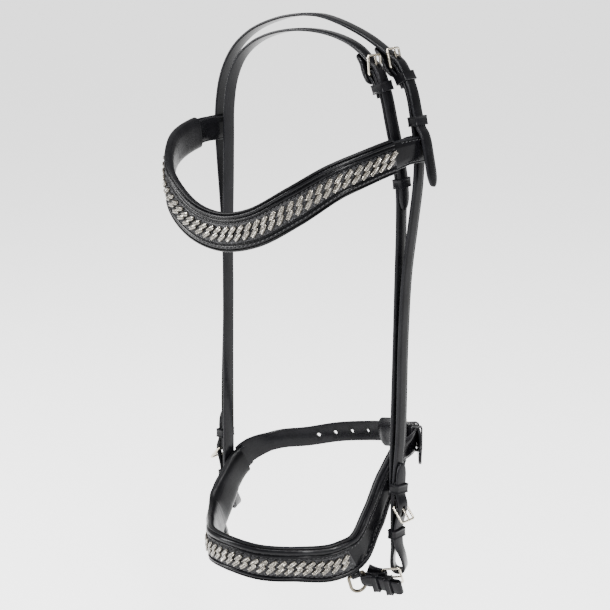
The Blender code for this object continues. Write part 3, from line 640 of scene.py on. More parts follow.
def buckle(prefix, line, heel, way, h, tilt, inner_width, m, t=0.0):
    """A buckle's frame of round wire, and the tongue on its heel bar."""
    spot, along, outward, across = line.at(heel)
    centre = spot + h * outward + t * across
    turn = math.radians(tilt)
    u = math.cos(turn) * way * along + math.sin(turn) * outward
    n = math.cos(turn) * outward - math.sin(turn) * way * along
    half = inner_width / 2 + WIRE_R
    body, hook = prefix + "_buckle", prefix + "_tongue"
    piece = Piece()
    wire(piece, rounded_box(0, BUCKLE_LENGTH, -half, half, 1.6, 6), centre, u, across, WIRE_R + 0.05)
    piece.make(body + "_frame.metal", [m["metal"]], body, body + "_frame", 60)
    eye = WIRE_R + 0.2 + TONGUE_T / 2
    points = []
    for k in range(14):
        angle = math.radians(-170 + 260 * k / 13)
        points.append(centre + eye * (math.cos(angle + math.pi) * u + math.sin(angle) * n))
    for reach, up in ((3.0, 0.22), (5.0, 0.25), (8.0, 0.2), (11.0, 0.12), (13.5, 0.05), (16.0, 0.0)):
        points.append(centre + reach * u + (eye + up) * n)
    path = Line(points, np.array([across] * len(points)))

    def section(s):
        taper = float(np.interp(s, [path.s[0], path.s[-1] - 3, path.s[-1]], [1.0, 0.92, 0.6]))
        ring = []
        for k in range(12):
            angle = 2 * math.pi * (k + 0.5) / 12
            c, d = math.cos(angle), math.sin(angle)
            ring.append((taper * TONGUE_W / 2 * math.copysign(abs(c) ** 0.6, c), d * TONGUE_T / 2, 0.0))
        return ring

    piece = Piece()
    sweep(piece, path, section, list(path.s))
    piece.make(hook + ".metal", [m["metal"]], hook, body + "_tongue", 60)


# ------------------------------------------------------------------ materials


class Nodes:
    """A material's node tree, built by name."""

    def __init__(self, name):
        self.material = bpy.data.materials.new(name)
        self.material.use_nodes = True
        self.tree = self.material.node_tree
        self.shader = self.tree.nodes["Principled BSDF"]

    def add(self, kind, inputs=None, **settings):
        node = self.tree.nodes.new(kind)
        for key, value in settings.items():
            setattr(node, key, value)
        for key, value in (inputs or {}).items():
            if isinstance(value, bpy.types.NodeSocket):
                self.tree.links.new(value, node.inputs[key])
            else:
                node.inputs[key].default_value = value
        return node

    def link(self, a, socket):
        self.tree.links.new(a, self.shader.inputs[socket])

    def ramp(self, value, low, high, a, b):
        """value between low and high becomes a number between a and b."""
        limits = {"From Min": low, "From Max": high, "To Min": a, "To Max": b}
        node = self.add("ShaderNodeMapRange", {"Value": value, **limits})
        return node.outputs["Result"]

    def blend(self, share, a, b):
        node = self.add("ShaderNodeMix", {"Factor": share}, data_type="RGBA")
        for socket, value in ((node.inputs[6], a), (node.inputs[7], b)):
            if isinstance(value, bpy.types.NodeSocket):
                self.tree.links.new(value, socket)
            else:
                socket.default_value = (*value, 1.0)
        return node.outputs[2]

    def noise(self, where, scale, detail=3.0, roughness=0.55):
        node = self.add(
            "ShaderNodeTexNoise",
            {"Vector": where, "Scale": scale, "Detail": detail, "Roughness": roughness},
        )
        return node.outputs["Fac"]

    def bump(self, heights):
        """Bumps one over another: [(height, strength, distance in metres), ...]."""
        last = None
        for height, strength, distance in heights:
            inputs = {"Height": height, "Strength": strength, "Distance": distance}
            if last is not None:
                inputs["Normal"] = last
            last = self.add("ShaderNodeBump", inputs).outputs["Normal"]
        self.link(last, "Normal")

    def where(self):
        return self.add("ShaderNodeTexCoord").outputs["Object"]

    def place(self):
        node = self.add("ShaderNodeAttribute", attribute_name="place")
        return self.add("ShaderNodeSeparateXYZ", {"Vector": node.outputs["Vector"]})


SHEEN = 0.1
LEATHER_DARK = (0.0016, 0.0016, 0.002)
LEATHER_LIGHT = (0.005, 0.005, 0.0058)


def leather_material(name, edge_colour, rough, grain, wrinkle):
    """Black leather: pores and creases in its surface, scratches, and edges rubbed paler."""
    n = Nodes(name)
    where = n.where()
    place = n.place()
    broad = n.noise(where, 55.0, 4.0)
    fine = n.noise(where, 900.0, 4.0, 0.6)
    pores = n.add("ShaderNodeTexVoronoi", {"Vector": where, "Scale": 1300.0}).outputs["Distance"]
    stretched = n.add("ShaderNodeCombineXYZ", {"X": place.outputs["X"], "Y": place.outputs["Y"]})
    flat = stretched.outputs["Vector"]
    long_way = n.add("ShaderNodeMapping", {"Vector": flat, "Scale": (420.0, 1.1, 1.0)})
    creases = n.noise(long_way.outputs["Vector"], 1.0, 5.0, 0.6)
    scratch_way = n.add("ShaderNodeMapping", {"Vector": flat, "Scale": (26.0, 9.0, 1.0)})
    scratches = n.noise(scratch_way.outputs["Vector"], 1.6, 6.0, 0.7)
    colour = n.blend(n.ramp(broad, 0.35, 0.7, 0.0, 1.0), LEATHER_DARK, LEATHER_LIGHT)
    rubbed = n.ramp(scratches, 0.35, 0.75, 0.1, 0.9)
    worn = n.add("ShaderNodeMath", {0: place.outputs["Z"], 1: rubbed}, operation="MULTIPLY")
    colour = n.blend(worn.outputs[0], colour, edge_colour)
    n.link(colour, "Base Color")
    n.link(n.ramp(scratches, 0.3, 0.75, rough - 0.07, rough + 0.12), "Roughness")
    n.shader.inputs["Specular IOR Level"].default_value = SHEEN
    n.bump([(creases, wrinkle, 0.0005), (pores, grain, 0.00018), (fine, grain, 0.00012)])
    return n.material


def thread_material():
    n = Nodes("waxed_thread")
    where = n.where()
    twist = n.add("ShaderNodeTexWave", {"Vector": where, "Scale": 700.0, "Distortion": 1.2}).outputs["Fac"]
    n.link(n.blend(twist, (0.006, 0.006, 0.007), (0.03, 0.03, 0.033)), "Base Color")
    n.link(n.ramp(twist, 0.0, 1.0, 0.4, 0.6), "Roughness")
    n.bump([(twist, 0.4, 0.0002)])
    return n.material


def mesh_ground_material():
    n = Nodes("beaded_ground_painted_glints")
    where = n.where()
    beads = n.add("ShaderNodeTexVoronoi", {"Vector": where, "Scale": 950.0, "Randomness": 0.35})
    glint = n.noise(where, 1100.0, 2.0)
    island = n.add("ShaderNodeNewGeometry").outputs["Random Per Island"]
    shine = n.ramp(beads.outputs["Distance"], 0.12, 0.5, 1.0, 0.0)
    # Painted glints: beads picked at random per island are painted pale grey to stand in for highlights on
    # them; the rest keep the dark bead colour.
    pale = n.ramp(island, 0.45, 1.0, 0.0, 1.0)
    n.link(n.blend(pale, (0.002, 0.002, 0.0025), (0.09, 0.09, 0.095)), "Base Color")
    n.link(n.ramp(glint, 0.3, 0.7, 0.25, 0.6), "Roughness")
    n.shader.inputs["Specular IOR Level"].default_value = 0.2
    n.bump([(shine, 0.8, 0.0004)])
    return n.material


def metal_material(name, bright, dull, rough, patina):
    n = Nodes(name)
    where = n.where()
    clouds = n.noise(where, 160.0, 5.0, 0.6)
    brushed = n.add("ShaderNodeMapping", {"Vector": where, "Scale": (900.0, 900.0, 90.0)})
    lines = n.noise(brushed.outputs["Vector"], 1.0, 3.0)
    n.link(n.blend(n.ramp(clouds, 0.5 - patina, 0.75, 0.0, 1.0), bright, dull), "Base Color")
    n.link(n.ramp(lines, 0.3, 0.7, rough - 0.06, rough + 0.1), "Roughness")
    n.shader.inputs["Metallic"].default_value = 1.0
    n.bump([(clouds, 0.12, 0.0003), (lines, 0.06, 0.0001)])
    return n.material


def stone_material():
    """Small clear stones on foil: each one its own grey, from dark smoke to bright silver."""
    n = Nodes("clear_stones")
    where = n.where()
    island = n.add("ShaderNodeNewGeometry").outputs["Random Per Island"]
    flicker = n.noise(where, 800.0, 1.0)
    tone = n.add("ShaderNodeMath", {0: island, 1: n.ramp(flicker, 0.3, 0.7, 0.0, 0.5)}, operation="ADD")
    bright = n.ramp(tone.outputs[0], 0.35, 1.35, 0.0, 1.0)
    n.link(n.blend(bright, (0.03, 0.028, 0.024), (0.5, 0.465, 0.4)), "Base Color")
    n.link(n.ramp(flicker, 0.3, 0.7, 0.06, 0.22), "Roughness")
    n.shader.inputs["Metallic"].default_value = 0.75
    n.shader.inputs["Coat Weight"].default_value = 1.0
    n.shader.inputs["Coat Roughness"].default_value = 0.03
    n.bump([(flicker, 0.1, 0.0002)])
    return n.material


def make_materials():
    """Every material by a short name."""
    return {
        "leather": leather_material("bridle_leather", (0.012, 0.012, 0.014), 0.19, 0.16, 0.12),
        "soft": leather_material("padded_leather_face", (0.006, 0.006, 0.007), 0.3, 0.12, 0.26),
        "thread": thread_material(),
        "ground": mesh_ground_material(),
        "metal": metal_material("pale_nickel_plate", (0.62, 0.57, 0.48), (0.4, 0.36, 0.29), 0.18, 0.1),
        "ring": metal_material("aged_nickel", (0.13, 0.115, 0.09), (0.05, 0.045, 0.035), 0.27, 0.2),
        "link": metal_material("link_metal", (0.12, 0.11, 0.095), (0.04, 0.037, 0.032), 0.3, 0.15),
        "stone": stone_material(),
    }


# ------------------------------------------------------------------ straps


def make_strap(node, path, widths, thickness, m, stitched=None, holes=None, body="bridle"):
    """A plain strap. stitched is (first, last, width between the edges), holes a list of cutters."""
    piece = Piece()
    ribbon(piece, path, widths, thickness)
    if stitched:
        first, last, width = stitched
        for side in (-1, 1):
            stitches(piece, path, first, last, side * (width / 2 - STITCH_IN), thickness / 2 + 0.12)
    thing = piece.make(node + ".leather", leathers(piece, m), body, node)
    if holes:
        cut(thing, holes)


def leathers(piece, m):
    """Leather, with thread when the piece has stitches."""
    return [m["leather"], m["thread"]] if SECOND in piece.kinds else [m["leather"]]


def make_headpiece(cheek, m):
    """The outer strap: from its off bit end, over the poll, to the billet that hangs on the near side."""
    heel = cheek.s_at_height(CROWN_HEEL_Z, 1)
    off_heel = cheek.s_at_height(OFF_BIT_HEEL_Z, -1)
    down = [cheek.s_at_height(z, 1) for z in (-85, -90, -112, -131)]
    marks = list(reversed(bit_end(off_heel, -1, 20.0, 65.5)))
    marks += [(off_heel + 40, 0), (off_heel + 120, 0), (-60, 0), (60 - heel * 0.2, 0)]
    marks += billet_over(heel, -1, STRAP_T)
    marks += [(down[0], 2.9), (down[1], 7.8), (down[2], 9.4, 1), (down[3], 13, 4)]
    path = lay(cheek, marks)
    end = path.s[-1]
    widths = [w for w in round_ends(path, BILLET_W, TIP, 0) if w[0] < TIP + 1]
    widths += [(205, BILLET_W), (225, STRAP_W), (end - 135, STRAP_W), (end - 125, BILLET_W)]
    holes = [slot_box(cheek, heel, -1, -1.6, 6.0, 2.2, 9.2)]
    holes.append(slot_box(cheek, off_heel, -1, 2.9, 12.0, -0.4, 9.4))
    make_strap("crown_strap", path, widths + tip(path, BILLET_W), STRAP_T, m, holes=holes)


def make_near_cheek(cheek, m):
    """The outer near cheek, from the crown buckle to the near bit end."""
    heel = cheek.s_at_height(CROWN_HEEL_Z, 1)
    bit_heel = cheek.s_at_height(NEAR_BIT_HEEL_Z, 1)
    marks = folded_end(heel, -1, STRAP_T)
    marks += [(heel + 40, 0), (bit_heel - 60, 0)] + bit_end(bit_heel, 1, 3.0, 62.5)
    path = lay(cheek, marks)
    end = path.s[-1]
    widths = [(0, BILLET_W), (60, BILLET_W), (75, STRAP_W), (end - 210, STRAP_W)]
    widths += [(end - 195, BILLET_W)] + tip(path, BILLET_W)
    holes = [slot_box(cheek, heel, -1, -8.0, 2.5, -2.5, 5.0)]
    holes.append(slot_box(cheek, bit_heel, 1, 2.9, 12.0, -0.4, 9.4))
    make_strap("near_cheekpiece", path, widths, STRAP_T, m, (30, 52, BILLET_W), holes)


def make_hanger(line, m):
    """The strap over the poll that carries the noseband, with its billet on the near side."""
    heel = line.s_at_height(HANGER_HEEL_Z, 1)
    off_end = line.s_at_height(-426, -1)
    end = line.s_at_height(-152, 1)
    marks = [(off_end, 0), (off_end + 150, 0), (-60, 0), (heel - 40, 0)]
    marks += billet_over(heel, -1, STRAP_T) + [(end - 20, 2.9), (end, 2.9)]
    path = lay(line, marks)
    end = path.s[-1]
    widths = [(0, STRAP_W), (end - 145, STRAP_W), (end - 135, BILLET_W)] + tip(path, BILLET_W)
    holes = [slot_box(line, heel, -1, -1.6, 6.0, 2.2, 9.2)]
    make_strap("noseband_hanger", path, widths, STRAP_T, m, (3, 26, STRAP_W), holes)


def make_near_hanger(line, m):
    """The inner near cheek, from the hanger's buckle down to the noseband."""
    heel = line.s_at_height(HANGER_HEEL_Z, 1)
    foot = line.s_at_height(-397, 1)
    path = lay(line, folded_end(heel, -1, STRAP_T) + [(heel + 40, 0), (foot - 40, 0), (foot, 0)])
    widths = [(0, BILLET_W), (60, BILLET_W), (75, STRAP_W), (path.s[-1], STRAP_W)]
    holes = [slot_box(line, heel, -1, -8.0, 2.5, -2.5, 5.0)]
    make_strap("near_hanger_strap", path, widths, STRAP_T, m, (30, 52, BILLET_W), holes)


def make_safe(prefix, path, width, thickness, tapers, stitched_from, inset, m):
    """The flap inside a buckle, stitched round its two long edges."""
    piece = Piece()
    ribbon(piece, path, round_ends(path, width, *tapers), thickness)
    for side in (-1, 1):
        across = side * (width / 2 - inset)
        stitches(piece, path, stitched_from, path.s[-1] - 6, across, thickness / 2 + 0.1)
    node = prefix + "_buckle_safe"
    piece.make(node + ".leather", leathers(piece, m), "bridle", node)


def make_top_buckle(prefix, line, heel_z, keeper_in, runner_z, runner_top, m):
    """A buckle near the poll, with its safe, a fixed keeper and a sliding runner."""
    heel = line.s_at_height(heel_z, 1)
    buckle(prefix, line, heel, -1, heel_height(STRAP_T), TOP_TILT, 13.2, m)
    path = lay(line, safe_marks(heel, -1, STRAP_T, SAFE_T, 25))
    make_safe(prefix, path, 17.0, SAFE_T, (8, 5), 7, 1.6, m)
    keeper(prefix + "_keeper_upper", line, heel + keeper_in, -4.5, 4.2, STRAP_W, "bridle", m)
    runner = line.s_at_height(runner_z, 1)
    keeper(prefix + "_keeper_runner", line, runner, -1.3, runner_top, STRAP_W, prefix + "_runner", m)


def make_bit_buckle(cheek, prefix, side, heel_z, m):
    """The folded end, the buckle and the two keepers above a bit loop."""
    heel = cheek.s_at_height(heel_z, side)
    steps = [(-22, 2.1), (-8, 2.1), (-1.75, 2.1), (1.7, 2.1), (1.7, 5.5), (-1.75, 5.5)]
    steps += [(-4, 5.2), (-6.5, 4.1)]
    path = lay(cheek, [(heel + side * d, h) for d, h in steps])
    holes = [slot_box(cheek, heel, side, 1.0, 7.0, -2.5, 3.5)]
    make_strap(prefix + "_chape", path, round_ends(path, BILLET_W, 5, 0), THIN_T, m, holes=holes)
    buckle(prefix, cheek, heel, side, 3.8, BIT_TILT, 14.0, m)
    keeper(prefix + "_keeper_upper", cheek, heel - side * 15, -1.3, 5.9, STRAP_W, "bridle", m)
    place = heel + side * 25.5
    keeper(prefix + "_keeper_lower", cheek, place, -1.4, 4.2, STRAP_W, prefix + "_runner", m)


# ------------------------------------------------------------------ bands


def beside(half_at, side, inset):
    """The place across a band, as a function of s, that lies inset from one of its edges."""
    return lambda s: side * (half_at(s) - inset)


def roll(piece, line, rows, inner, outer, low, rise):
    """A stuffed roll on a band's face, between two distances across that may vary along it."""

    def section(s):
        a, b = inner(s), outer(s)
        ring = []
        for k in range(13):
            share = k / 12
            dome = math.sin(math.pi * share) ** 0.5
            ring.append((a + (b - a) * share, low + rise * dome, 0.3 * dome))
        return ring + [(b, low - 0.6, 0.0), (a, low - 0.6, 0.0)]

    sweep(piece, line, section, rows)


def pillow(band, line, rows, half_at, body, m):
    """The padded lining behind a band, rolled over both its edges."""
    side = [(0.4, -1.55), (0.4, 1.1), (0.7, 1.45), (1.15, 1.55)]
    side += [(1.6, 1.3), (1.85, 0.6), (2.0, -0.8), (1.8, -2.4)]
    under = [(0.97, -3.9), (0.86, -5.0), (0.7, -5.8), (0.48, -6.25), (0.22, -6.4), (0.0, -6.45)]

    def section(s):
        half = half_at(s)
        soft = 1 + 0.035 * math.sin(s * 0.9) + 0.025 * math.sin(s * 2.3 + 1)
        ring = [(half + t, h, 0.3) for t, h in side]
        ring += [((half + 1.4) * share, -1.6 + (h + 1.6) * soft, 0.1) for share, h in under]
        return ring + [(-t, h, edge) for t, h, edge in reversed(ring[:-1])]

    piece = Piece()
    sweep(piece, line, section, rows)
    thing = piece.make(band + ".padding", [m["soft"]], body, band + "_padding", 70)


def ground(band, line, rows, low_edge, high_edge, body, m):
    """The dark beaded strip under the chain, its surface covered with rows of tiny beads."""
    piece = Piece()

    def section(s):
        a, b = low_edge(s), high_edge(s)
        outline = ((a, 1.3), (a, 1.8), (a + 0.5, 2.05), (b - 0.5, 2.05), (b, 1.8), (b, 1.3))
        return [(t, h, 0.0) for t, h in outline]

    sweep(piece, line, section, rows)
    first, last = rows[0] + 1, rows[-1] - 1
    bead_faces = [(0, i, i % 6 + 1) for i in range(1, 7)] + [(6, 5, 4, 3, 2, 1)]
    for k in range(int((last - first) / BEAD_PITCH)):
        s = first + k * BEAD_PITCH
        spot, along, outward, across = line.at(s)
        a, b = low_edge(s) + 0.6, high_edge(s) - 0.6
        gaps = int(b - a)
        for j in range(gaps + 1):
            t = a + (b - a) * (j + 0.5 * (k % 2) * 0.9) / (gaps + 1)
            centre = spot + t * across + 2.1 * outward
            points = [centre + BEAD_R * outward * 0.9]
            for turn in range(30, 390, 60):
                angle = math.radians(turn)
                points.append(centre + BEAD_R * (math.cos(angle) * along + math.sin(angle) * across))
            piece.add(points, bead_faces)
    piece.make(band + ".ground", [m["ground"]], body, band + "_inlay", 80)


def stone(piece, centre, u, v, up):
    """A small faceted stone: a flat table, eight sloping facets and a girdle."""
    points = []
    for size, height in ((1.0, -0.5), (1.0, 0.12), (0.56, 0.62)):
        for k in range(8):
            angle = 2 * math.pi * (k + 0.5) / 8
            flat = math.cos(angle) * u + math.sin(angle) * v
            points.append(centre + STONE_R * (size * flat + height * up))
    piece.add(points, grid_faces(3, 8, False), SECOND)


def link_bar(piece, centre, u, v, up):
    """One bar of a curb link: a domed metal base set with two rows of small stones."""
    half_l, half_w = BAR_LENGTH / 2, BAR_WIDTH / 2
    rings = ((1.0, BAR_LOW), (1.03, BAR_LOW + 0.5), (1.0, BAR_HIGH - 0.75))
    rings += ((0.9, BAR_HIGH - 0.3), (0.62, BAR_HIGH - 0.08))
    points = []
    for size, height in rings:
        for k in range(20):
            angle = 2 * math.pi * (k + 0.5) / 20
            c, d = math.cos(angle), math.sin(angle)
            a = math.copysign(abs(c) ** 0.6, c) * half_l * size
            b = math.copysign(abs(d) ** 0.75, d) * half_w * size
            points.append(centre + a * u + b * v + height * up)
    piece.add(points, grid_faces(len(rings), 20, False))
    for i in range(BAR_STONES):
        share = (2 * i + 1 - BAR_STONES) / (BAR_STONES - 1)
        rise = BAR_HIGH - 0.3 * share**2 - 0.05
        for j in (-1, 1):
            face = unit(up + 0.2 * j * v + 0.2 * share * u)
            level = unit(u - float(u @ face) * face)
            spot = centre + share * (half_l - 0.75) * u + j * 0.8 * v + rise * up
            stone(piece, spot, level, np.cross(face, level), face)


def chain(band, line, ends, look, t, body, m):
    """A curb chain lying along a band: two rows of slanting bars, one row's ends over the other's."""
    first, last = ends
    pitch, lean, shift = look
    piece = Piece()
    count = int(round((last - first) / pitch))
    pitch = (last - first) / count
    lean = math.radians(lean)
    for k in range(count):
        spot, along, outward, across = line.at(first + (k + 0.5) * pitch)
        u = math.cos(lean) * along + math.sin(lean) * across
        v = -math.sin(lean) * along + math.cos(lean) * across
        for way in (1, -1):
            centre = spot + (t + way * BAR_RISE) * across + way * shift * along
            face = unit(outward - 0.07 * u)
            side = unit(v - float(v @ face) * face)
            link_bar(piece, centre, np.cross(side, face), side, face)
    piece.make(band + ".chain", [m["link"], m["stone"]], body, band + "_chain", 24)


def make_browband(line, m):
    """The browband: a strap with looped ends, its rolls and lining, the beaded strip and the chain."""
    end = line.s[-1] - 7.8
    inner = [(end - 40, -2.5), (end - 30, -2.5), (end - 20, -7.3), (end - 8, -7.3)]
    half_marks = inner + [(end, -7.3), (end, 0.0), (end - 6, 0.0), (end - 30, 0.0), (end - 100, 0.0)]
    path = lay(line, [(-s, h) for s, h in half_marks] + list(reversed(half_marks)))
    mid = path.s[-1] / 2
    stop = end - 42
    profile = ((0, 14.2), (80, 13.6), (120, 12.4), (end - 40, 12), (end - 25, 10.8), (mid, 10.5))
    lengths, halves = zip(*profile)

    def half_at(s):
        return float(np.interp(abs(s), lengths, halves))

    widths = [(float(s), 2 * half_at(s - mid)) for s in np.linspace(0, path.s[-1], 60)]
    piece = Piece()
    ribbon(piece, path, widths, BROW_T)
    rows = [-stop] + [s for s in stations(line, 0.02, 3.0) if -stop < s < stop] + [stop]
    for side, near, far, rise in BROW_ROLLS:
        roll(piece, line, rows, beside(half_at, side, near), beside(half_at, side, far), 0.8, rise)
    stitches(piece, line, -stop + 2, stop - 2, beside(half_at, 1, 6.9), 1.3)
    stitches(piece, line, -stop + 2, stop - 2, beside(half_at, -1, 1.9), 1.85)
    for way in (-1, 1):
        ends = sorted((way * (stop + 8), way * (end - 10)))
        for side in (-1, 1):
            stitches(piece, line, ends[0], ends[1], beside(half_at, side, 2.4), 1.1)
    piece.make("browband.leather", leathers(piece, m), "browband", "browband_body", 60)
    pad_rows = [s for s in stations(line, 0.03, 4.0) if -stop + 1 < s < stop - 1]
    pillow("browband", line, [-stop] + pad_rows + [stop], half_at, "browband", m)
    edges = beside(half_at, -1, 4.6), beside(half_at, 1, 7.5)
    ground("browband", line, rows, *edges, "browband", m)
    chain("browband", line, (-stop + 1, stop - 1), BROW_CHAIN, -1.0, "browband", m)


def make_noseband(line, m):
    """The noseband: a shaped strap, its rolls and lining, the beaded strip and the chain."""
    first, last = line.s[0], line.s[-1]
    profile = [(first, 22), (first + 20, 25), (-140, 28), (-110, NOSE_ARM_W), (-70, NOSE_W)]
    profile += [(60, NOSE_W), (90, NOSE_ARM_W), (108, NOSE_ARM_W), (125, 27), (145, 24), (last, 21)]
    lengths, widths = zip(*profile)

    def half_at(s):
        return float(np.interp(s, lengths, widths)) / 2

    fine = stations(line, 0.02, 3.0)
    piece = Piece()
    ribbon(piece, line, [(s, 2 * half_at(s)) for s in fine], NOSE_T, fine)
    rows = [s for s in fine if first + 3 < s < last - 3]
    for side, near, far, rise in NOSE_ROLLS:
        roll(piece, line, rows, beside(half_at, side, near), beside(half_at, side, far), 1.0, rise)
    for start, end in ((first + 8, -106), (114, last - 8)):
        stitches(piece, line, start, end, beside(half_at, 1, 8.0), 1.35)
        stitches(piece, line, start, end, beside(half_at, -1, 3.6), 1.35)
    stitches(piece, line, -102, 110, beside(half_at, 1, 8.3), 1.5)
    stitches(piece, line, -102, 110, beside(half_at, -1, 3.8), 1.5)
    piece.make("noseband.leather", leathers(piece, m), "bridle", "noseband_body", 60)
    pad_rows = [s for s in stations(line, 0.03, 4.0) if first + 4 < s < last - 4]
    pillow("noseband", line, pad_rows, half_at, "bridle", m)
    edges = beside(half_at, -1, 4.6), beside(half_at, 1, 9.0)
    ground("noseband", line, [s for s in fine if -101 < s < 111], *edges, "bridle", m)
    chain("noseband", line, (-100, 108), NOSE_CHAIN, -1.6, "bridle", m)


# ------------------------------------------------------------------ rings, chin and flash


def make_ring(line, prefix, m):
    """A D-ring and the folded tab that holds it under the noseband."""
    steps = [(-8, -2.5), (3.0, -2.5), (3.6, 0.6), (8.0, 0.6), (8.0, -4.3), (3.0, -4.3)]
    path = lay(line, steps + [(0.5, -4.3), (-5.5, -4.3)])
    make_strap(prefix + "_tab", path, [(0, 8.6), (path.s[-1], 8.6)], 1.2, m)
    outline = [(RING_HALF * math.cos(a), 9.5 + 7.3 * math.sin(a)) for a in np.linspace(0, math.pi, 19)]
    outline += [(-RING_HALF, y) for y in (7.0, 4.5, 1.4)]
    outline += [(-RING_HALF + 0.45, 0.35), (-RING_HALF + 1.5, 0), (0, 0)]
    outline += [(RING_HALF - 1.5, 0), (RING_HALF - 0.45, 0.35)]
    outline += [(RING_HALF, y) for y in (1.4, 4.5, 7.0)]
    _, down, _, level = line.at(BAR_DROP)
    piece = Piece()
    wire(piece, outline, line.spot(BAR_DROP, -1.8), level, down, RING_WIRE_R + 0.2)
    piece.make(prefix + ".metal", [m["ring"]], prefix, prefix, 60)


def make_chin(line, m):
    """The chin strap and the near chape, with their buckle, safe and keepers."""
    heel = CHIN_HEEL
    marks = [(line.s[0] + 8, 0), (-90, 0), (0, 0), (heel - 30, 0)] + billet_over(heel, -1, CHIN_T)
    marks += [(heel + 40, 3.2), (heel + 45, 4.4, 2), (heel + 52, 6.5, 7), (heel + 60, 9.0, 14)]
    path = lay(line, marks)
    widths = [(0, 26), (12, 25), (34, CHIN_W)] + tip(path, CHIN_W, 9)
    rod_faces = grid_faces(2, 24, False)
    holes = [(rod_points(line, s, -3, 3, 1.9), rod_faces) for s in (-54, -36.5, -18.5, -0.5)]
    holes.append(slot_box(line, heel, -1, -1.6, 6.0, 2.2, 9.2))
    make_strap("chin_strap", path, widths, CHIN_T, m, holes=holes)
    path = lay(line, folded_end(heel, -1, CHIN_T) + [(heel + 40, 0), (line.s[-1] - 8, 0)])
    holes = [slot_box(line, heel, -1, -8, 2.2, -2.5, 5.0)]
    widths = [(0, CHIN_W), (path.s[-1], CHIN_W)]
    make_strap("near_chin_chape", path, widths, CHIN_T, m, (30, 46, CHIN_W), holes)
    buckle("chin", line, heel, -1, heel_height(CHIN_T), TOP_TILT, 19.8, m)
    path = lay(line, safe_marks(heel, -1, CHIN_T, CHIN_SAFE_T, 46))
    make_safe("chin", path, 27.0, CHIN_SAFE_T, (7, 5), 8, 1.9, m)
    keeper("chin_keeper_upper", line, heel + 13, -4.8, 4.9, CHIN_W, "bridle", m)
    keeper("chin_keeper_lower", line, heel + 34, -1.4, 4.9, CHIN_W, "chin_runner", m)


def make_flash(line, m):
    """The flash strap, looped through the near ring and rolled up, with its buckle and keepers."""
    heel, h, t = 15.0, -4.6, -2.2
    tail = folded_end(heel, 1, FLASH_T, h, t)
    marks = [(heel - 14, tail[0][1], 5.0), (heel - 7, tail[1][1], 1.0)] + tail[2:]
    marks += [(heel - 8, h, t), (3, -3.3, 0.0), (-3.0, -3.1, 0.0), (-3.0, 3.1, 0.0)]
    marks += [(3, 2.9, 0.0), (9, 1.8, -0.8), (26, 1.8, -3.4), (34, 1.8, -4.6), (34, 6.4, -4.6)]
    marks += [(29, 6.4, -4.0), (17, 4.3, -2.0), (8, 4.3, -0.6)]
    path = lay(line, marks)
    widths = [(0, FLASH_W), (24, FLASH_W), (28, 8.6), (47, 8.6), (53, FLASH_W)] + tip(path, FLASH_W, 9)
    holes = [(box_points(line, heel - 2.5, heel + 4.5, -13.0, -2.6, 1.6, t), BOX_FACES)]
    make_strap("flash_strap", path, widths, FLASH_T, m, holes=holes, body="flash_strap")
    buckle("flash", line, heel, 1, h + heel_height(FLASH_T), -8, FLASH_W + 0.8, m, t)
    for name, s, high, shift in (("inner", 11.5, 5.6, -1.2), ("outer", 23.5, 6.8, -3.0)):
        node = "flash_keeper_" + name
        keeper(node, line, s, 0.7, high, FLASH_W + 1.6, "flash_strap", m, 6, shift)


# ------------------------------------------------------------------ floor, light and camera

# In metres. Each lamp has its place, size and power
CAMERA_TARGET = (0, -0.008, -0.247)
CAMERA_TOWARD = (0.6498, -0.7217, 0.2385)
CAMERA_AWAY = 1.3
CAMERA_LENS = 88.2
FLOOR_Z = -0.66
FLOOR_HALF = 45.0
WORLD_LIGHT = 0.6
FLOOR_GLOW = 1.5
LAMPS = (
    ("key", (1.3, -0.9, 1.2), (0.35, 1.6), 85.0),
    ("fill", (-1.5, -1.2, 0.5), (0.3, 1.6), 65.0),
    ("top", (0.1, -0.2, 1.6), (1.4, 0.35), 55.0),
)


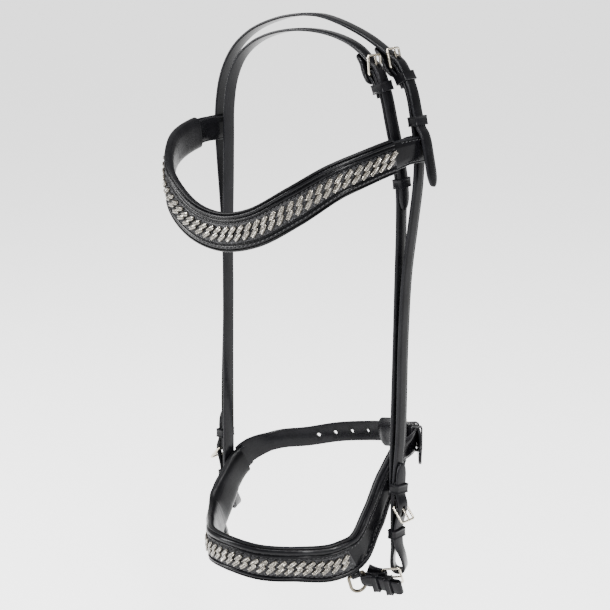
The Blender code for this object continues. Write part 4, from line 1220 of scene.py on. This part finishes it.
def make_floor():
    """A plain pale floor that glows a little."""
    n = Nodes("studio_paper")
    n.link(n.blend(n.noise(n.where(), 3.0), (0.9, 0.9, 0.9), (0.93, 0.93, 0.93)), "Base Color")
    n.shader.inputs["Roughness"].default_value = 0.9
    n.shader.inputs["Emission Color"].default_value = (1.0, 1.0, 1.0, 1.0)
    n.shader.inputs["Emission Strength"].default_value = FLOOR_GLOW
    mesh = bpy.data.meshes.new("floor")
    corners = [(x * FLOOR_HALF, y * FLOOR_HALF, 0) for x, y in ((-1, -1), (1, -1), (1, 1), (-1, 1))]
    mesh.from_pydata(corners, [], [(0, 1, 2, 3)])
    mesh.materials.append(n.material)
    floor = link_object("floor", mesh)
    floor.location = (0, 0, FLOOR_Z)


def make_studio():
    """Soft light from all round, three lamps, and the camera."""
    world = bpy.data.worlds.new("studio")
    world.use_nodes = True
    background = world.node_tree.nodes["Background"]
    background.inputs["Color"].default_value = (1.0, 1.0, 1.0, 1.0)
    background.inputs["Strength"].default_value = WORLD_LIGHT
    bpy.context.scene.world = world
    target = Vector(CAMERA_TARGET)
    for name, place, size, power in LAMPS:
        lamp = bpy.data.lights.new(name, "AREA")
        lamp.shape = "RECTANGLE"
        lamp.size, lamp.size_y = size
        lamp.energy = power
        thing = link_object(name, lamp)
        thing.location = place
        thing.rotation_euler = (target - Vector(place)).to_track_quat("-Z", "Y").to_euler()
    camera = bpy.data.cameras.new("camera")
    camera.lens = CAMERA_LENS
    camera.sensor_width = 36
    camera.clip_end = 100
    thing = link_object("camera", camera)
    toward = Vector(CAMERA_TOWARD)
    thing.location = target + CAMERA_AWAY * toward
    thing.rotation_euler = toward.to_track_quat("Z", "Y").to_euler()
    bpy.context.scene.camera = thing


def main():
    lines = make_lines()
    cheek, hanger = lines["cheek"], lines["hanger"]
    m = make_materials()
    make_headpiece(cheek, m)
    make_near_cheek(cheek, m)
    make_top_buckle("crown", cheek, CROWN_HEEL_Z, 12, -80, 5.5, m)
    make_hanger(hanger, m)
    make_near_hanger(hanger, m)
    make_top_buckle("hanger", hanger, HANGER_HEEL_Z, 12.5, -130, 4.2, m)
    make_bit_buckle(cheek, "near_bit", 1, NEAR_BIT_HEEL_Z, m)
    make_bit_buckle(cheek, "off_bit", -1, OFF_BIT_HEEL_Z, m)
    make_browband(lines["brow"], m)
    make_noseband(lines["nose"], m)
    make_ring(lines["near_ring"], "near_dring", m)
    make_ring(lines["off_ring"], "off_dring", m)
    make_chin(lines["chin"], m)
    make_flash(lines["flash"], m)
    make_floor()
    make_studio()


main()
